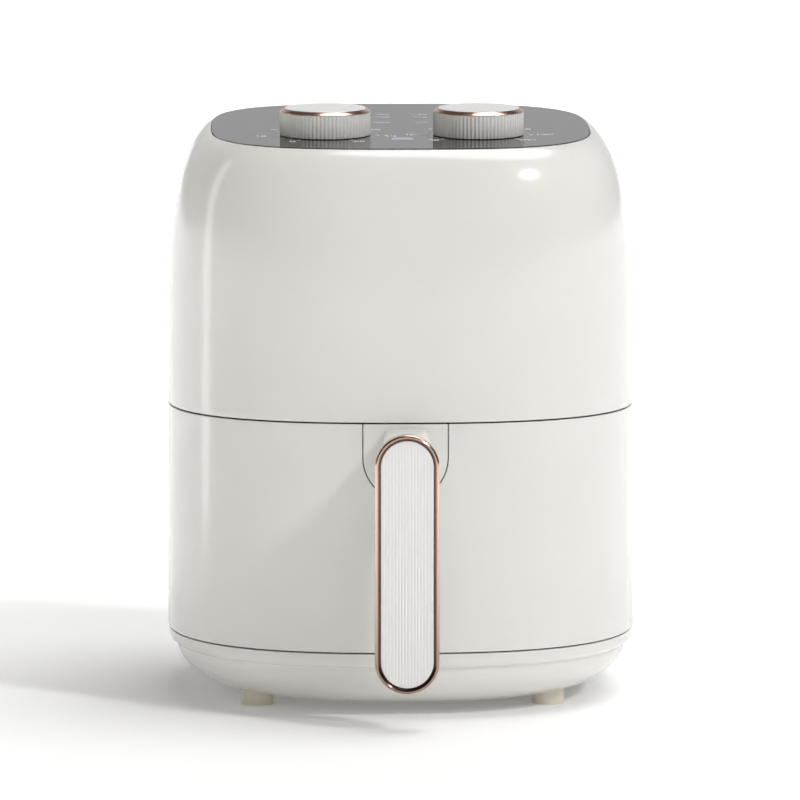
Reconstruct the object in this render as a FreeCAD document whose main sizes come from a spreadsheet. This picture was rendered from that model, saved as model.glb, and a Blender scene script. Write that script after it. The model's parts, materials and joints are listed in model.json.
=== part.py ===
import FreeCAD, Part
import math
import os
import re
from types import SimpleNamespace

import Sketcher

# Air fryer with a pull-out drawer, two turned controls on a glossy top panel and a bar handle.
# Millimetres, +Z up, +X to the user's right, the drawer pulls out along -Y. Levels are heights
# above the surface that the fryer stands on. The origin is the bottom centre of the whole
# object's box, so the plan centre of the body lies a little behind it (body_shift).

# Driving dimensions: alias, value, meaning.
SIZES = [
    # body
    ("body_width", 260.2, "width of the body at its fullest level"),
    ("body_depth", 264.2, "depth of the body at its fullest level"),
    ("plan_power", 2.5, "exponent of the rounded-square plan of the body"),
    ("side_bulge", 1.3, "how much the side wall falls in from its fullest level to the shoulder"),
    ("full_level", 70, "level where the body is fullest"),
    ("shell_wall", 2.4, "wall of the outer mouldings"),
    ("seam_gap", 0.8, "visible gap between the outer mouldings"),
    ("base_level", 36.6, "level of the seam under the drawer"),
    ("drawer_level", 161.3, "level of the seam above the drawer"),
    ("shoulder_level", 208, "level where the dome starts"),
    ("panel_level", 313.5, "level of the panel's middle"),
    ("panel_tilt", 3.25, "forward slope of the panel, degrees"),
    ("panel_power", 3.2, "exponent of the panel's plan"),
    ("panel_setback", 2.5, "how far the panel's middle lies behind the body's"),
    ("panel_thickness", 2.5, "thickness of the glossy panel"),
    ("panel_lip", 0.5, "rim of the dome left round the panel"),
    ("panel_gap", 0.15, "gap between the panel and the dome's rim"),
    ("dome_fraction", 0.968, "share of the dome's full curve that the rim reaches"),
    ("dome_inset", 38.5, "sideways reach of the dome's full curve"),
    ("dome_inset_depth", 34, "front to back reach of the dome's full curve"),
    ("dome_power", 2.65, "exponent of the dome's curve"),
    # base tray and feet
    ("foot_height", 4.1, "clear height under the base tray"),
    ("foot_radius", 8.8, "radius of a foot"),
    ("foot_spread", 80, "sideways distance of a foot from the middle"),
    ("foot_spread_depth", 71, "front to back distance of a foot from the middle"),
    ("rim_band", 7.2, "height of the band under the drawer seam"),
    ("rim_step", 1.8, "step in from the band to the bowl of the base tray"),
    ("bowl_inset", 40, "how far the bowl curves in under the body"),
    ("bowl_power", 1.93, "exponent of the bowl's curve"),
    # inner frame of the housing
    ("split_depth", 10, "where the drawer front ends, behind the body's middle"),
    ("bay_inset", 9.7, "gap between the outer mouldings and the bay liner"),
    ("bay_wall", 1.6, "wall of the bay liner"),
    ("bay_front", 20, "where the bay liner starts, in front of the body's middle"),
    ("bay_rib", 3, "thickness of the bay liner's ribs"),
    ("bay_rib_depth", 42, "where the bay liner's side ribs stand, behind the body's middle"),
    ("bay_rib_side", 24, "where the bay liner's back rib stands, to the right of the middle"),
    ("floor_plate", 2.4, "thickness of the bay floor"),
    ("ceiling_plate", 2, "thickness of the bay ceiling"),
    ("deck_level", 226, "underside of the chassis deck"),
    ("deck_plate", 3, "thickness of the chassis deck"),
    ("post_radius", 5, "radius of the screw posts"),
    ("post_spread", 84, "sideways and depth distance of the deck posts from the middle"),
    ("base_post_spread", 60, "sideways distance of the base posts from the middle"),
    ("base_post_depth", 55, "front to back distance of the base posts from the middle"),
    ("screw_radius", 1.7, "radius of a screw's shank"),
    ("screw_head", 3.4, "radius of a screw's head"),
    ("screw_fit", 0.05, "radial gap of a screw in its post"),
    # heating chamber
    ("chamber_radius", 103, "inside radius of the heating chamber"),
    ("chamber_roof", 223, "underside of the chamber's roof"),
    ("chamber_corner", 16, "radius between the chamber's wall and roof"),
    ("sheet", 1, "thickness of the chamber's sheet metal"),
    ("heater_level", 190, "level of the heating element"),
    ("heater_radius", 78, "radius of the element's outer turn"),
    ("heater_pitch", 18, "distance between the element's turns"),
    ("heater_tube", 3.3, "radius of the element's tube"),
    ("heater_leg", 12, "sideways distance of the element's legs"),
    ("guard_level", 176, "level of the element guard"),
    ("heater_bend", 8, "radius of the bend at the foot of a heater leg"),
    ("heater_stub", 12, "how far a heater leg stands above the deck's underside"),
    ("guard_wire", 1.3, "radius of the guard's wire"),
    # motor and fans
    ("shaft_radius", 3, "radius of the motor shaft"),
    ("bush_fit", 0.05, "radial running gap in bushes and control bearings"),
    ("rotor_radius", 20, "radius of the motor rotor"),
    ("stator_size", 56, "side of the motor's lamination stack"),
    ("stator_level", 236, "underside of the lamination stack"),
    ("stator_height", 20, "height of the lamination stack"),
    ("winding_height", 4.5, "height of a copper end winding"),
    ("bush_radius", 6, "outside radius of a motor bush"),
    ("bush_height", 3.5, "height of a motor bush"),
    ("bracket_width", 24, "width of the motor's lower bracket"),
    ("bridge_width", 20, "width of the motor's upper bridge"),
    ("bracket_sheet", 2, "thickness of the motor brackets' sheet"),
    ("fan_radius", 54, "radius of the hot air impeller"),
    ("fan_level", 203.5, "underside of the hot air impeller"),
    ("fan_height", 10.5, "height of the hot air impeller"),
    ("cooler_radius", 34, "radius of the cooling fan"),
    ("cooler_level", 267, "underside of the cooling fan"),
    ("cooler_height", 8, "height of the cooling fan"),
    # controls
    ("knob_spacing", 84.2, "distance between the two controls"),
    ("knob_depth", 42.5, "how far the controls lie in front of the panel's middle"),
    ("knob_radius", 24.9, "radius of a knob"),
    ("knob_wall", 12.2, "height of a knob's fluted wall"),
    ("knob_gap", 0.8, "gap under a knob"),
    ("knob_cap_radius", 22.3, "radius inside a knob's bright ring, at its top"),
    ("knob_ring_height", 2.2, "height of a knob's bright ring"),
    ("knob_flutes", 72, "number of flutes round a knob"),
    ("flute_depth", 0.55, "depth of a flute"),
    ("control_shaft", 3, "radius of a control's shaft"),
    ("boss_radius", 6, "radius of a control unit's neck"),
    ("unit_height", 20, "height of a control unit"),
    ("unit_depth", 48, "front to back size of a control unit"),
    ("timer_width", 46, "width of the timer unit"),
    ("thermostat_width", 38, "width of the thermostat unit"),
    ("bell_radius", 17.5, "radius of the timer's bell"),
    ("bell_height", 6.5, "height of the timer's bell"),
    ("probe_radius", 1.5, "radius of the thermostat's probe"),
    ("probe_setback", 20, "how far the probe stands in front of its unit's middle"),
    ("frame_thickness", 2.5, "thickness of the frame under the panel"),
    ("lens_width", 11.5, "width of the indicator lens"),
    ("lens_depth", 20, "front to back size of the indicator lens"),
    ("lens_setback", 66, "how far the lens lies in front of the panel's middle"),
    # drawer and pan
    ("drawer_travel", 300, "how far the drawer pulls out"),
    ("pan_width", 208, "outside width of the pan"),
    ("pan_depth", 212, "outside depth of the pan"),
    ("pan_power", 2.8, "exponent of the pan's plan"),
    ("pan_bottom", 46, "underside of the pan"),
    ("pan_rim", 155, "underside of the pan's flange"),
    ("pan_flange", 8, "width of the pan's flange"),
    ("pan_wall", 1.2, "wall of the pan"),
    ("pan_corner", 14, "curve between the pan's wall and floor"),
    ("pan_tab", 12, "width of the pan's tab that meets the door switch"),
    ("frame_plate", 2, "thickness of the drawer's inner frame"),
    ("rail_height", 5.5, "height of a slide rail"),
    ("rail_gap", 0.5, "gap between the pan's flange and the rails"),
    ("plate_level", 57, "underside of the crisper plate"),
    ("plate_thickness", 1.5, "thickness of the crisper plate"),
    ("plate_margin", 5, "gap between the crisper plate and the pan's wall"),
    ("plate_slot", 16, "length of a crisper plate slot"),
    ("slot_width", 3.2, "width of a crisper plate slot"),
    ("slot_pitch", 13, "distance between rows of crisper plate slots"),
    ("grip_radius", 9, "radius of the crisper plate's grip"),
    ("bumper_radius", 6, "radius of a bumper under the crisper plate"),
    ("plunger_radius", 1.5, "radius of the door switch's plunger"),
    ("plunger_length", 7.5, "length of the door switch's plunger"),
    # handle
    ("handle_width", 34.4, "width of the handle's grip"),
    ("handle_height", 138.6, "height of the handle's grip"),
    ("handle_bottom", 20.9, "level of the handle's lower end"),
    ("grip_gap", 27, "finger gap between the drawer and the grip"),
    ("grip_thickness", 10, "thickness of the grip behind its ring"),
    ("ring_width", 3.1, "width of the bright ring round the grip"),
    ("ring_height", 3.5, "height of the bright ring"),
    ("insert_thickness", 2.7, "thickness of the ribbed insert"),
    ("rib_count", 15, "grooves across the insert"),
    ("rib_pitch", 1.7, "distance between the insert's grooves"),
    ("groove_width", 0.6, "width of a groove"),
    ("groove_depth", 0.5, "depth of a groove"),
    ("grip_round", 4.5, "rounding of the grip's back edge"),
    ("neck_width", 24.5, "width of the handle's neck at the drawer"),
    ("neck_height", 30, "height of the handle's neck at the drawer"),
    ("plate_width", 45.4, "width of the plate let into the drawer front"),
    ("plate_straight", 18.2, "straight height of the plate above its round end"),
    ("plate_gap", 0.5, "gap round the plate"),
    # back
    ("vent_width", 112, "width of the vent cover"),
    ("vent_height", 56, "height of the vent cover"),
    ("vent_level", 193, "level of the vent cover's middle"),
    ("vent_reach", 6, "how far the vent cover stands out behind the body"),
    ("vent_root", 7, "how far the vent cover reaches into the body"),
    ("vent_lap", 4, "how far the vent cover laps over its opening"),
    ("vent_margin", 8, "plain margin above and below the vent's slots"),
    ("vent_slot", 3.4, "height of a vent slot"),
    ("vent_slots", 6, "number of vent slots"),
    ("duct_width", 64, "outside width of the air duct"),
    ("duct_height", 28, "outside height of the air duct"),
    ("gland_level", 52, "level of the cord gland"),
    ("gland_bore", 3.65, "radius of the cord gland's bore"),
    ("gland_radius", 7.5, "radius of the gland's barrel"),
]

doc = FreeCAD.newDocument("air_fryer")
sheet = doc.addObject("Spreadsheet::Sheet", "Sizes")
for row, (alias, value, meaning) in enumerate(SIZES, start=1):
    sheet.set(f"A{row}", alias)
    sheet.set(f"B{row}", str(value))
    sheet.set(f"C{row}", meaning)
    sheet.setAlias(f"B{row}", alias)
doc.recompute()
S = SimpleNamespace(**{alias: float(sheet.get(alias)) for alias, value, meaning in SIZES})

ALIASES = set(vars(S))
BODY_SHIFT = "(grip_gap + grip_thickness + ring_height - vent_reach) / 2"
NODES = []
SECTION_POINTS = 36
WALL_STEPS = 4
DOME_STEPS = 11
CORNERS = [(-1, -1), (1, -1), (-1, 1), (1, 1)]


# ---------------------------------------------------------------- building blocks

def link(text):
    """An expression with each size's alias turned into a reference to the sheet."""
    def full(match):
        return "Sizes." + match.group(0) if match.group(0) in ALIASES else match.group(0)
    return re.sub(r"[a-z_]+", full, text)


def bind(obj, **sizes):
    """Tie an object's properties to expressions of the sheet's sizes."""
    for name, text in sizes.items():
        obj.setExpression(name, link(str(text)))
    return obj


def vec(x=0.0, y=0.0, z=0.0):
    return FreeCAD.Vector(x, y, z)


def worth(text):
    """The present value of an expression."""
    return float(sheet.evalExpression(link(str(text))))


def put(obj, x="0", y="0", z="0"):
    """Place an object by expressions, in its own frame."""
    for axis, text in zip("xyz", (x, y, z)):
        obj.setExpression(f".Placement.Base.{axis}", link(str(text)))
    return obj


def node(obj, label):
    """Give a sub-part its name and stand it in the body's plan centre."""
    obj.Label = label
    put(obj, "0", BODY_SHIFT, "0")
    NODES.append(obj)
    return obj


def panel_node(obj, label, x="0", y="0"):
    """Give a sub-part its name and stand it on the sloping panel, at x, y in the panel's plane."""
    obj.Label = label
    obj.Placement = FreeCAD.Placement(vec(), FreeCAD.Rotation(vec(1, 0, 0), 1))
    obj.setExpression(".Placement.Rotation.Angle", link("panel_tilt"))
    put(obj, x, f"{BODY_SHIFT} + ({y}) * cos(panel_tilt)", f"panel_level + ({y}) * sin(panel_tilt)")
    NODES.append(obj)
    return obj


def box(name, length, width, height, x="0", y="0", z="0"):
    """A box whose corner is at x, y, z."""
    item = doc.addObject("Part::Box", name)
    bind(item, Length=length, Width=width, Height=height)
    return put(item, x, y, z)


def mid_box(name, length, width, height, x="0", y="0", z="0"):
    """A box centred on x, y and standing on z."""
    return box(name, length, width, height, f"({x}) - ({length}) / 2", f"({y}) - ({width}) / 2", z)


def rod(name, radius, height, x="0", y="0", z="0", along=None):
    """A cylinder standing on x, y, z, or lying along another direction."""
    item = doc.addObject("Part::Cylinder", name)
    if along:
        item.Placement = FreeCAD.Placement(vec(), FreeCAD.Rotation(vec(0, 0, 1), vec(*along)))
    bind(item, Radius=radius, Height=height)
    return put(item, x, y, z)


def fuse(name, parts):
    item = doc.addObject("Part::MultiFuse", name)
    item.Shapes = parts
    return item


def cut(name, base, tool):
    item = doc.addObject("Part::Cut", name)
    item.Base = base
    tools = tool if isinstance(tool, list) else [tool]
    item.Tool = fuse(name + "_holes", tools) if len(tools) > 1 else tools[0]
    return item


def common(name, base, tool):
    item = doc.addObject("Part::Common", name)
    item.Base = base
    item.Tool = tool
    return item


def feature(name, shape):
    """A shape worked out in code from the sheet's sizes."""
    item = doc.addObject("Part::Feature", name)
    item.Shape = shape
    return item


def body_sketch(body, role, name):
    """A sketch on one of the body's own origin planes."""
    sketch = body.newObject("Sketcher::SketchObject", name)
    plane = [item for item in body.Origin.OriginFeatures if item.Role == role][0]
    sketch.AttachmentSupport = [(plane, "")]
    sketch.MapMode = "FlatFace"
    return sketch


def pin(sketch, kind, geometry, point, text):
    """Hold one coordinate of a point at an expression."""
    index = sketch.addConstraint(Sketcher.Constraint(kind, -1, 1, geometry, point, worth(text)))
    sketch.setExpression(f"Constraints[{index}]", link(text))


def draw_polygon(sketch, corners):
    """A closed outline through corners given as pairs of expressions."""
    first = sketch.GeometryCount
    count = len(corners)
    spots = [vec(worth(x), worth(y)) for x, y in corners]
    for k in range(count):
        sketch.addGeometry(Part.LineSegment(spots[k], spots[(k + 1) % count]), False)
    for k in range(count):
        sketch.addConstraint(Sketcher.Constraint("Coincident", first + k, 2, first + (k + 1) % count, 1))
        pin(sketch, "DistanceX", first + k, 1, corners[k][0])
        pin(sketch, "DistanceY", first + k, 1, corners[k][1])


def draw_circle(sketch, radius, x="0", y="0"):
    index = sketch.addGeometry(Part.Circle(vec(worth(x), worth(y)), vec(0, 0, 1), worth(radius)), False)
    pin(sketch, "DistanceX", index, 3, x)
    pin(sketch, "DistanceY", index, 3, y)
    size = sketch.addConstraint(Sketcher.Constraint("Radius", index, worth(radius)))
    sketch.setExpression(f"Constraints[{size}]", link(radius))


def draw_stadium(sketch, width, low, high):
    """An upright slot outline on the middle line, from a low to a high end."""
    first = sketch.GeometryCount
    radius = worth(width) / 2
    side = vec(radius)
    up, down = vec(0, worth(high) - radius), vec(0, worth(low) + radius)
    sketch.addGeometry(Part.ArcOfCircle(Part.Circle(up, vec(0, 0, 1), radius), 0, math.pi), False)
    sketch.addGeometry(Part.LineSegment(up - side, down - side), False)
    sketch.addGeometry(Part.ArcOfCircle(Part.Circle(down, vec(0, 0, 1), radius), math.pi, 2 * math.pi), False)
    sketch.addGeometry(Part.LineSegment(down + side, up + side), False)
    for k in range(4):
        sketch.addConstraint(Sketcher.Constraint("Tangent", first + k, 2, first + (k + 1) % 4, 1))
    sketch.addConstraint(Sketcher.Constraint("Equal", first, first + 2))
    sketch.addConstraint(Sketcher.Constraint("PointOnObject", first, 3, -2))
    sketch.addConstraint(Sketcher.Constraint("PointOnObject", first + 2, 3, -2))
    size = sketch.addConstraint(Sketcher.Constraint("Radius", first, radius))
    sketch.setExpression(f"Constraints[{size}]", link(f"({width}) / 2"))
    pin(sketch, "DistanceY", first, 3, f"({high}) - ({width}) / 2")
    pin(sketch, "DistanceY", first + 2, 3, f"({low}) + ({width}) / 2")


def new_body(name):
    return doc.addObject("PartDesign::Body", name)


def lift(sketch, text):
    """Move a sketch along its plane's normal."""
    sketch.setExpression(".AttachmentOffset.Base.z", link(text))


def pad(body, sketch, length, name="pad", flip=False):
    item = body.newObject("PartDesign::Pad", name)
    item.Profile = sketch
    item.Reversed = flip
    bind(item, Length=length)
    doc.recompute()
    return item


def pocket(body, sketch, length, name="pocket", flip=False):
    """Cut a sketch into the body and make sure that something was cut."""
    before = body.Shape.Volume
    item = body.newObject("PartDesign::Pocket", name)
    item.Profile = sketch
    item.Reversed = flip
    bind(item, Length=length)
    doc.recompute()
    if not body.Shape.Volume < before:
        raise RuntimeError(f"{body.Name}: {name} cuts nothing")
    return item


def revolve(body, sketch, name="turned"):
    item = body.newObject("PartDesign::Revolution", name)
    item.Profile = sketch
    item.ReferenceAxis = (sketch, ["V_Axis"])
    item.Angle = 360
    doc.recompute()
    return item


def turned(name, corners):
    """A body turned about Z from an outline of radius and height."""
    body = new_body(name)
    sketch = body_sketch(body, "XZ_Plane", name + "_outline")
    draw_polygon(sketch, corners)
    revolve(body, sketch)
    return body


def plate_body(name, level, thickness, outer, holes=()):
    """A round plate with round holes given as radius, x and y."""
    body = new_body(name)
    sketch = body_sketch(body, "XY_Plane", name + "_outline")
    lift(sketch, level)
    draw_circle(sketch, outer)
    for radius, x, y in holes:
        draw_circle(sketch, radius, x, y)
    pad(body, sketch, thickness)
    return body


def bladed_wheel(name, level, height, radius, plate, blades, hub="shaft_radius + 3", plate_on_top=True):
    """A hub and a disc with straight blades set in a ring, all one moulding."""
    disc = f"({level}) + ({height}) - ({plate})" if plate_on_top else level
    blade_level = level if plate_on_top else f"({level}) + ({plate})"
    body = new_body(name)
    hub_sketch = body_sketch(body, "XY_Plane", name + "_hub")
    lift(hub_sketch, level)
    draw_circle(hub_sketch, hub)
    pad(body, hub_sketch, height, "hub")
    disc_sketch = body_sketch(body, "XY_Plane", name + "_disc")
    lift(disc_sketch, disc)
    draw_circle(disc_sketch, radius)
    pad(body, disc_sketch, plate, "disc")
    blade_sketch = body_sketch(body, "XY_Plane", name + "_blade")
    lift(blade_sketch, blade_level)
    root, tip, half = f"0.3 * ({radius})", f"({radius}) - 1.5", "0.7"
    draw_polygon(blade_sketch, [(root, f"-{half}"), (tip, f"4 - {half}"), (tip, f"4 + {half}"), (root, half)])
    blade = pad(body, blade_sketch, f"({height}) - ({plate})", "blade")
    ring = body.newObject("PartDesign::PolarPattern", "blades")
    ring.Originals = [blade]
    ring.Axis = (blade_sketch, ["N_Axis"])
    ring.Angle = 360
    ring.Occurrences = blades
    body.Tip = ring
    doc.recompute()
    bore_sketch = body_sketch(body, "XY_Plane", name + "_bore")
    lift(bore_sketch, f"({level}) + ({height})")
    draw_circle(bore_sketch, "shaft_radius")
    pocket(body, bore_sketch, height, "bore")
    return body


# ---------------------------------------------------------------- the body's form

def side_half(half, level):
    """Half size of the barrel-shaped wall at a level."""
    fall = (level - S.full_level) / (S.shoulder_level - S.full_level)
    return half - S.side_bulge * fall ** 2


def ring_wire(half_x, half_y, power, level, middle_y=0.0, slope=0.0):
    """A closed rounded-square wire. On it |x/a|^n + |y/b|^n = 1, and slope tips it about X."""
    points = []
    for k in range(SECTION_POINTS):
        turn = 2 * math.pi * (k + 0.5) / SECTION_POINTS
        c, s = math.cos(turn), math.sin(turn)
        reach = (abs(c / half_x) ** power + abs(s / half_y) ** power) ** (-1 / power)
        y = reach * s + middle_y
        points.append(vec(reach * c, y, level + y * math.tan(math.radians(slope))))
    curve = Part.BSplineCurve()
    curve.interpolate(Points=points, PeriodicFlag=True)
    return Part.Wire([curve.toShape()])


def loft(wires):
    """A solid through closed wires, straight from each one to the next."""
    return Part.makeLoft(wires, True, True)


def wall_wire(level, inset):
    """The body's plan at a level of the straight wall, moved in by inset."""
    half_x = side_half(S.body_width / 2, level) - inset
    half_y = side_half(S.body_depth / 2, level) - inset
    return ring_wire(half_x, half_y, S.plan_power, level)


def wall_form(low, high, inset=0.0):
    """A solid that fills the straight wall between two levels."""
    levels = [low + (high - low) * k / WALL_STEPS for k in range(WALL_STEPS + 1)]
    return loft([wall_wire(level, inset) for level in levels])


def dome_wire(rise, inset):
    """The dome's plan at a share of its height. The insets follow a superellipse quarter."""
    share = rise / S.dome_fraction
    drawn_in = 1 - (1 - rise ** S.dome_power) ** (1 / S.dome_power)
    full_height = (S.panel_level - S.shoulder_level) / S.dome_fraction
    half_x = side_half(S.body_width / 2, S.shoulder_level) - S.dome_inset * drawn_in - inset
    half_y = side_half(S.body_depth / 2, S.shoulder_level) - S.dome_inset_depth * drawn_in - inset
    power = S.plan_power + (S.panel_power - S.plan_power) * share ** 2
    level = S.shoulder_level + (full_height - inset) * rise
    return ring_wire(half_x, half_y, power, level, S.panel_setback * share ** 2, S.panel_tilt * share)


def upper_form(low, inset=0.0):
    """A solid that fills the upper moulding, from a low level to the panel's rim."""
    straight = [low + (S.shoulder_level - low) * k / 2 for k in range(3)]
    wires = [wall_wire(level, inset) for level in straight]
    rim_angle = math.asin(S.dome_fraction ** (S.dome_power / 2))
    for k in range(1, DOME_STEPS + 1):
        wires.append(dome_wire(math.sin(rim_angle * k / DOME_STEPS) ** (2 / S.dome_power), inset))
    return loft(wires)


def tray_form(inset=0.0, over=0.0):
    """The base tray's form: a band under the seam, a small step, then a bowl down to the flat."""
    top = S.base_level - S.seam_gap / 2
    band = [(0.0, 0.3), (0.42, 0.8), (0.78, 1.8), (1.0, 2.8)]
    wires = [wall_wire(top + over, band[0][1] + inset)] if over else []
    wires += [wall_wire(top - S.rim_band * share, start + inset) for share, start in band]
    bowl_top = top - S.rim_band - 0.8
    bowl_start = band[-1][1] + S.rim_step
    drop = bowl_top - S.foot_height - inset
    for angle in (0, 15, 30, 45, 60, 73, 83, 90):
        down = math.sin(math.radians(angle)) ** (2 / S.bowl_power)
        inward = 1 - max(math.cos(math.radians(angle)), 0.0) ** (2 / S.bowl_power)
        wires.append(wall_wire(bowl_top - drop * down, bowl_start + S.bowl_inset * inward + inset))
    return loft(wires)


def plan_prism(inset, low, high, power=None):
    """An upright prism of the body's plan, moved in by inset."""
    wire = ring_wire(S.body_width / 2 - inset, S.body_depth / 2 - inset, power or S.plan_power, low)
    return Part.Face(wire).extrude(vec(0, 0, high - low))


def half_space(depth, front, low=-50.0, high=400.0):
    """A block that holds everything in front of, or behind, a depth."""
    reach = 600.0
    start = -reach if front else depth
    return Part.makeBox(2 * reach, depth + reach if front else reach, high - low, vec(-reach, start, low))


def panel_prism(half_x, half_y, low, high):
    """A prism of the panel's plan, in the panel's own frame, where z = 0 is its top."""
    wire = ring_wire(half_x, half_y, S.panel_power, low, S.panel_setback)
    return Part.Face(wire).extrude(vec(0, 0, high - low))


RIM_IN = 1 - (1 - S.dome_fraction ** S.dome_power) ** (1 / S.dome_power)
RIM_X = side_half(S.body_width / 2, S.shoulder_level) - S.dome_inset * RIM_IN
RIM_Y = side_half(S.body_depth / 2, S.shoulder_level) - S.dome_inset_depth * RIM_IN
SEAM = S.seam_gap / 2
TRAY_TOP = S.base_level - SEAM
DRAWER_LOW = S.base_level + SEAM
DRAWER_HIGH = S.drawer_level - SEAM
SHELL_LOW = S.drawer_level + SEAM
CEILING_LOW = SHELL_LOW + 0.6
SLOPE = FreeCAD.Placement(vec(0, 0, S.panel_level), FreeCAD.Rotation(vec(1, 0, 0), S.panel_tilt))

upper_void = upper_form(SHELL_LOW, S.shell_wall)
lower_void = wall_form(DRAWER_LOW, DRAWER_HIGH, S.shell_wall)
lower_outer = wall_form(DRAWER_LOW, DRAWER_HIGH)
lower_wall = lower_outer.cut(lower_void)
tray_outer = tray_form()
tray_void = tray_form(S.shell_wall, 0.5)


def vent_opening():
    """A block the size of the opening behind the vent cover."""
    width, height = S.vent_width - 2 * S.vent_lap, S.vent_height - 2 * S.vent_lap
    corner = vec(-width / 2, S.body_depth / 2 - 40, S.vent_level - height / 2)
    return Part.makeBox(width, 60, height, corner)


def build_upper_shell():
    """The one-piece dome and upper wall, open below, with a ledge for the panel at its rim."""
    shell = upper_form(SHELL_LOW).cut(upper_void)
    recess = panel_prism(RIM_X - S.panel_lip + S.panel_gap, RIM_Y - S.panel_lip + S.panel_gap,
                         -S.panel_thickness, 12)
    recess.Placement = SLOPE
    shell = shell.cut(recess.fuse(vent_opening()))
    node(feature("upper_shell_form", shell), "upper_shell")


def build_rear_shell():
    """The lower back wall behind the drawer, with the hole for the cord gland."""
    wall = lower_wall.common(half_space(S.split_depth + S.seam_gap, False))
    start = vec(0, S.body_depth / 2 - 30, S.gland_level)
    hole = Part.makeCylinder(S.gland_radius, 60, start, vec(0, 1, 0))
    node(feature("rear_shell_form", wall.cut(hole)), "rear_shell")


def build_base_tray():
    """The bowl that the fryer stands on, with four counterbored screw holes."""
    outer = feature("tray_outer_form", tray_outer)
    void = feature("tray_void_form", tray_void)
    tools = [void]
    for k, (side, end) in enumerate(CORNERS):
        x, y = f"{side} * base_post_spread", f"{end} * base_post_depth"
        tools.append(rod(f"tray_hole_{k}", "screw_radius + 0.3", "30", x, y, "0"))
        tools.append(rod(f"tray_sink_{k}", "screw_head + 0.2", "1.6", x, y, "foot_height"))
    node(cut("tray_cut", outer, tools), "base_tray")


def build_feet():
    """Four soft round feet that fill up to the bowl's curve."""
    form = feature("feet_bowl_form", tray_outer.copy())
    posts = []
    for side in (-1, 1):
        for end in (-1, 1):
            posts.append(rod("foot_post", "foot_radius", "foot_height + 6",
                             f"{side} * foot_spread", f"{end} * foot_spread_depth", "0"))
    node(cut("feet_cut", fuse("foot_posts", posts), form), "foot_pads")


def build_bay_floor():
    """The plate that closes the base tray, with a screw post down to each base screw."""
    slab = mid_box("floor_slab", "2 * body_width", "2 * body_depth", "floor_plate",
                   "0", "0", "base_level - seam_gap / 2 - floor_plate")
    plate = common("floor_plate_form", slab, feature("floor_void_form", tray_void.copy()))
    posts, bores = [plate], []
    for k, (side, end) in enumerate(CORNERS):
        x, y = f"{side} * base_post_spread", f"{end} * base_post_depth"
        low = "foot_height + shell_wall"
        posts.append(rod(f"floor_post_{k}", "post_radius",
                         f"base_level - seam_gap / 2 - floor_plate / 2 - ({low})", x, y, low))
        bores.append(rod(f"floor_bore_{k}", "screw_radius + screw_fit", "16", x, y, low))
    node(cut("floor_cut", fuse("floor_and_posts", posts), bores), "bay_floor")


def screw_set(name, spots, head_level, length, head_height="1.4", up=True):
    """Identical upright screws with flat heads; spots are pairs of expressions."""
    pieces = []
    for k, (x, y) in enumerate(spots):
        shank_level = f"({head_level}) + {head_height}" if up else f"({head_level}) - ({length})"
        head = rod(f"{name}_head_{k}", "screw_head", head_height, x, y, head_level)
        shank = rod(f"{name}_shank_{k}", "screw_radius", length, x, y, shank_level)
        pieces += [head, shank]
    return fuse(name + "_group", pieces)


def build_base_screws():
    spots = [(f"{side} * base_post_spread", f"{end} * base_post_depth") for side, end in CORNERS]
    node(screw_set("base_screw", spots, "foot_height + 0.2", "14"), "base_screws")


def build_bay_liner():
    """The rounded inner wall of the drawer's bay, tied to the back wall by three ribs."""
    high = CEILING_LOW
    outer_inset = S.shell_wall + S.bay_inset
    outer = plan_prism(outer_inset, TRAY_TOP, high)
    inner = plan_prism(outer_inset + S.bay_wall, TRAY_TOP, high)
    wall = outer.cut(inner).common(half_space(-S.bay_front, False))
    rise = DRAWER_HIGH - DRAWER_LOW
    ribs = Part.makeBox(2 * S.body_width, S.bay_rib, rise, vec(-S.body_width, S.bay_rib_depth, DRAWER_LOW))
    back = Part.makeBox(S.bay_rib, S.body_depth, rise - 40, vec(S.bay_rib_side, 0, DRAWER_LOW))
    ribs = ribs.fuse(back).common(lower_void).cut(outer)
    start = vec(0, S.body_depth / 2 - 30, S.pan_rim + S.pan_wall / 2)
    plunger = Part.makeCylinder(S.plunger_radius + 0.7, 40, start, vec(0, 1, 0))
    node(feature("bay_liner_form", wall.fuse(ribs).cut(plunger)), "bay_liner")


def build_slide_rails():
    """Two rails on the bay liner that carry the pan's flange."""
    inside = plan_prism(S.shell_wall + S.bay_inset + S.bay_wall, TRAY_TOP, CEILING_LOW)
    low = S.pan_rim - S.rail_gap - S.rail_height
    start = S.pan_width / 2 + 2.5
    rails = []
    for side in (-1, 1):
        corner = vec(start if side > 0 else -start - 40, -S.bay_front, low)
        rails.append(Part.makeBox(40, S.bay_front + 60, S.rail_height, corner).common(inside))
    node(feature("slide_rails_form", Part.makeCompound([part.Solids[0] for part in rails])), "slide_rails")


def build_bay_ceiling():
    """The plate above the drawer that carries the heating chamber, with four deck posts."""
    slab = plan_prism(-5, CEILING_LOW, CEILING_LOW + S.ceiling_plate).common(upper_void)
    slab = slab.cut(Part.makeCylinder(S.chamber_radius, 40, vec(0, 0, CEILING_LOW - 10)))
    top = CEILING_LOW + S.ceiling_plate
    plate = feature("ceiling_plate_form", slab)
    posts, bores = [plate], []
    for k, (side, end) in enumerate(CORNERS):
        x, y = f"{side} * post_spread", f"{end} * post_spread"
        posts.append(rod(f"ceiling_post_{k}", "post_radius", f"deck_level - {top - 0.5}", x, y,
                         str(top - 0.5)))
        bores.append(rod(f"ceiling_bore_{k}", "screw_radius + screw_fit", "16", x, y, "deck_level - 15"))
    node(cut("ceiling_cut", fuse("ceiling_and_posts", posts), bores), "bay_ceiling")


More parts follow.
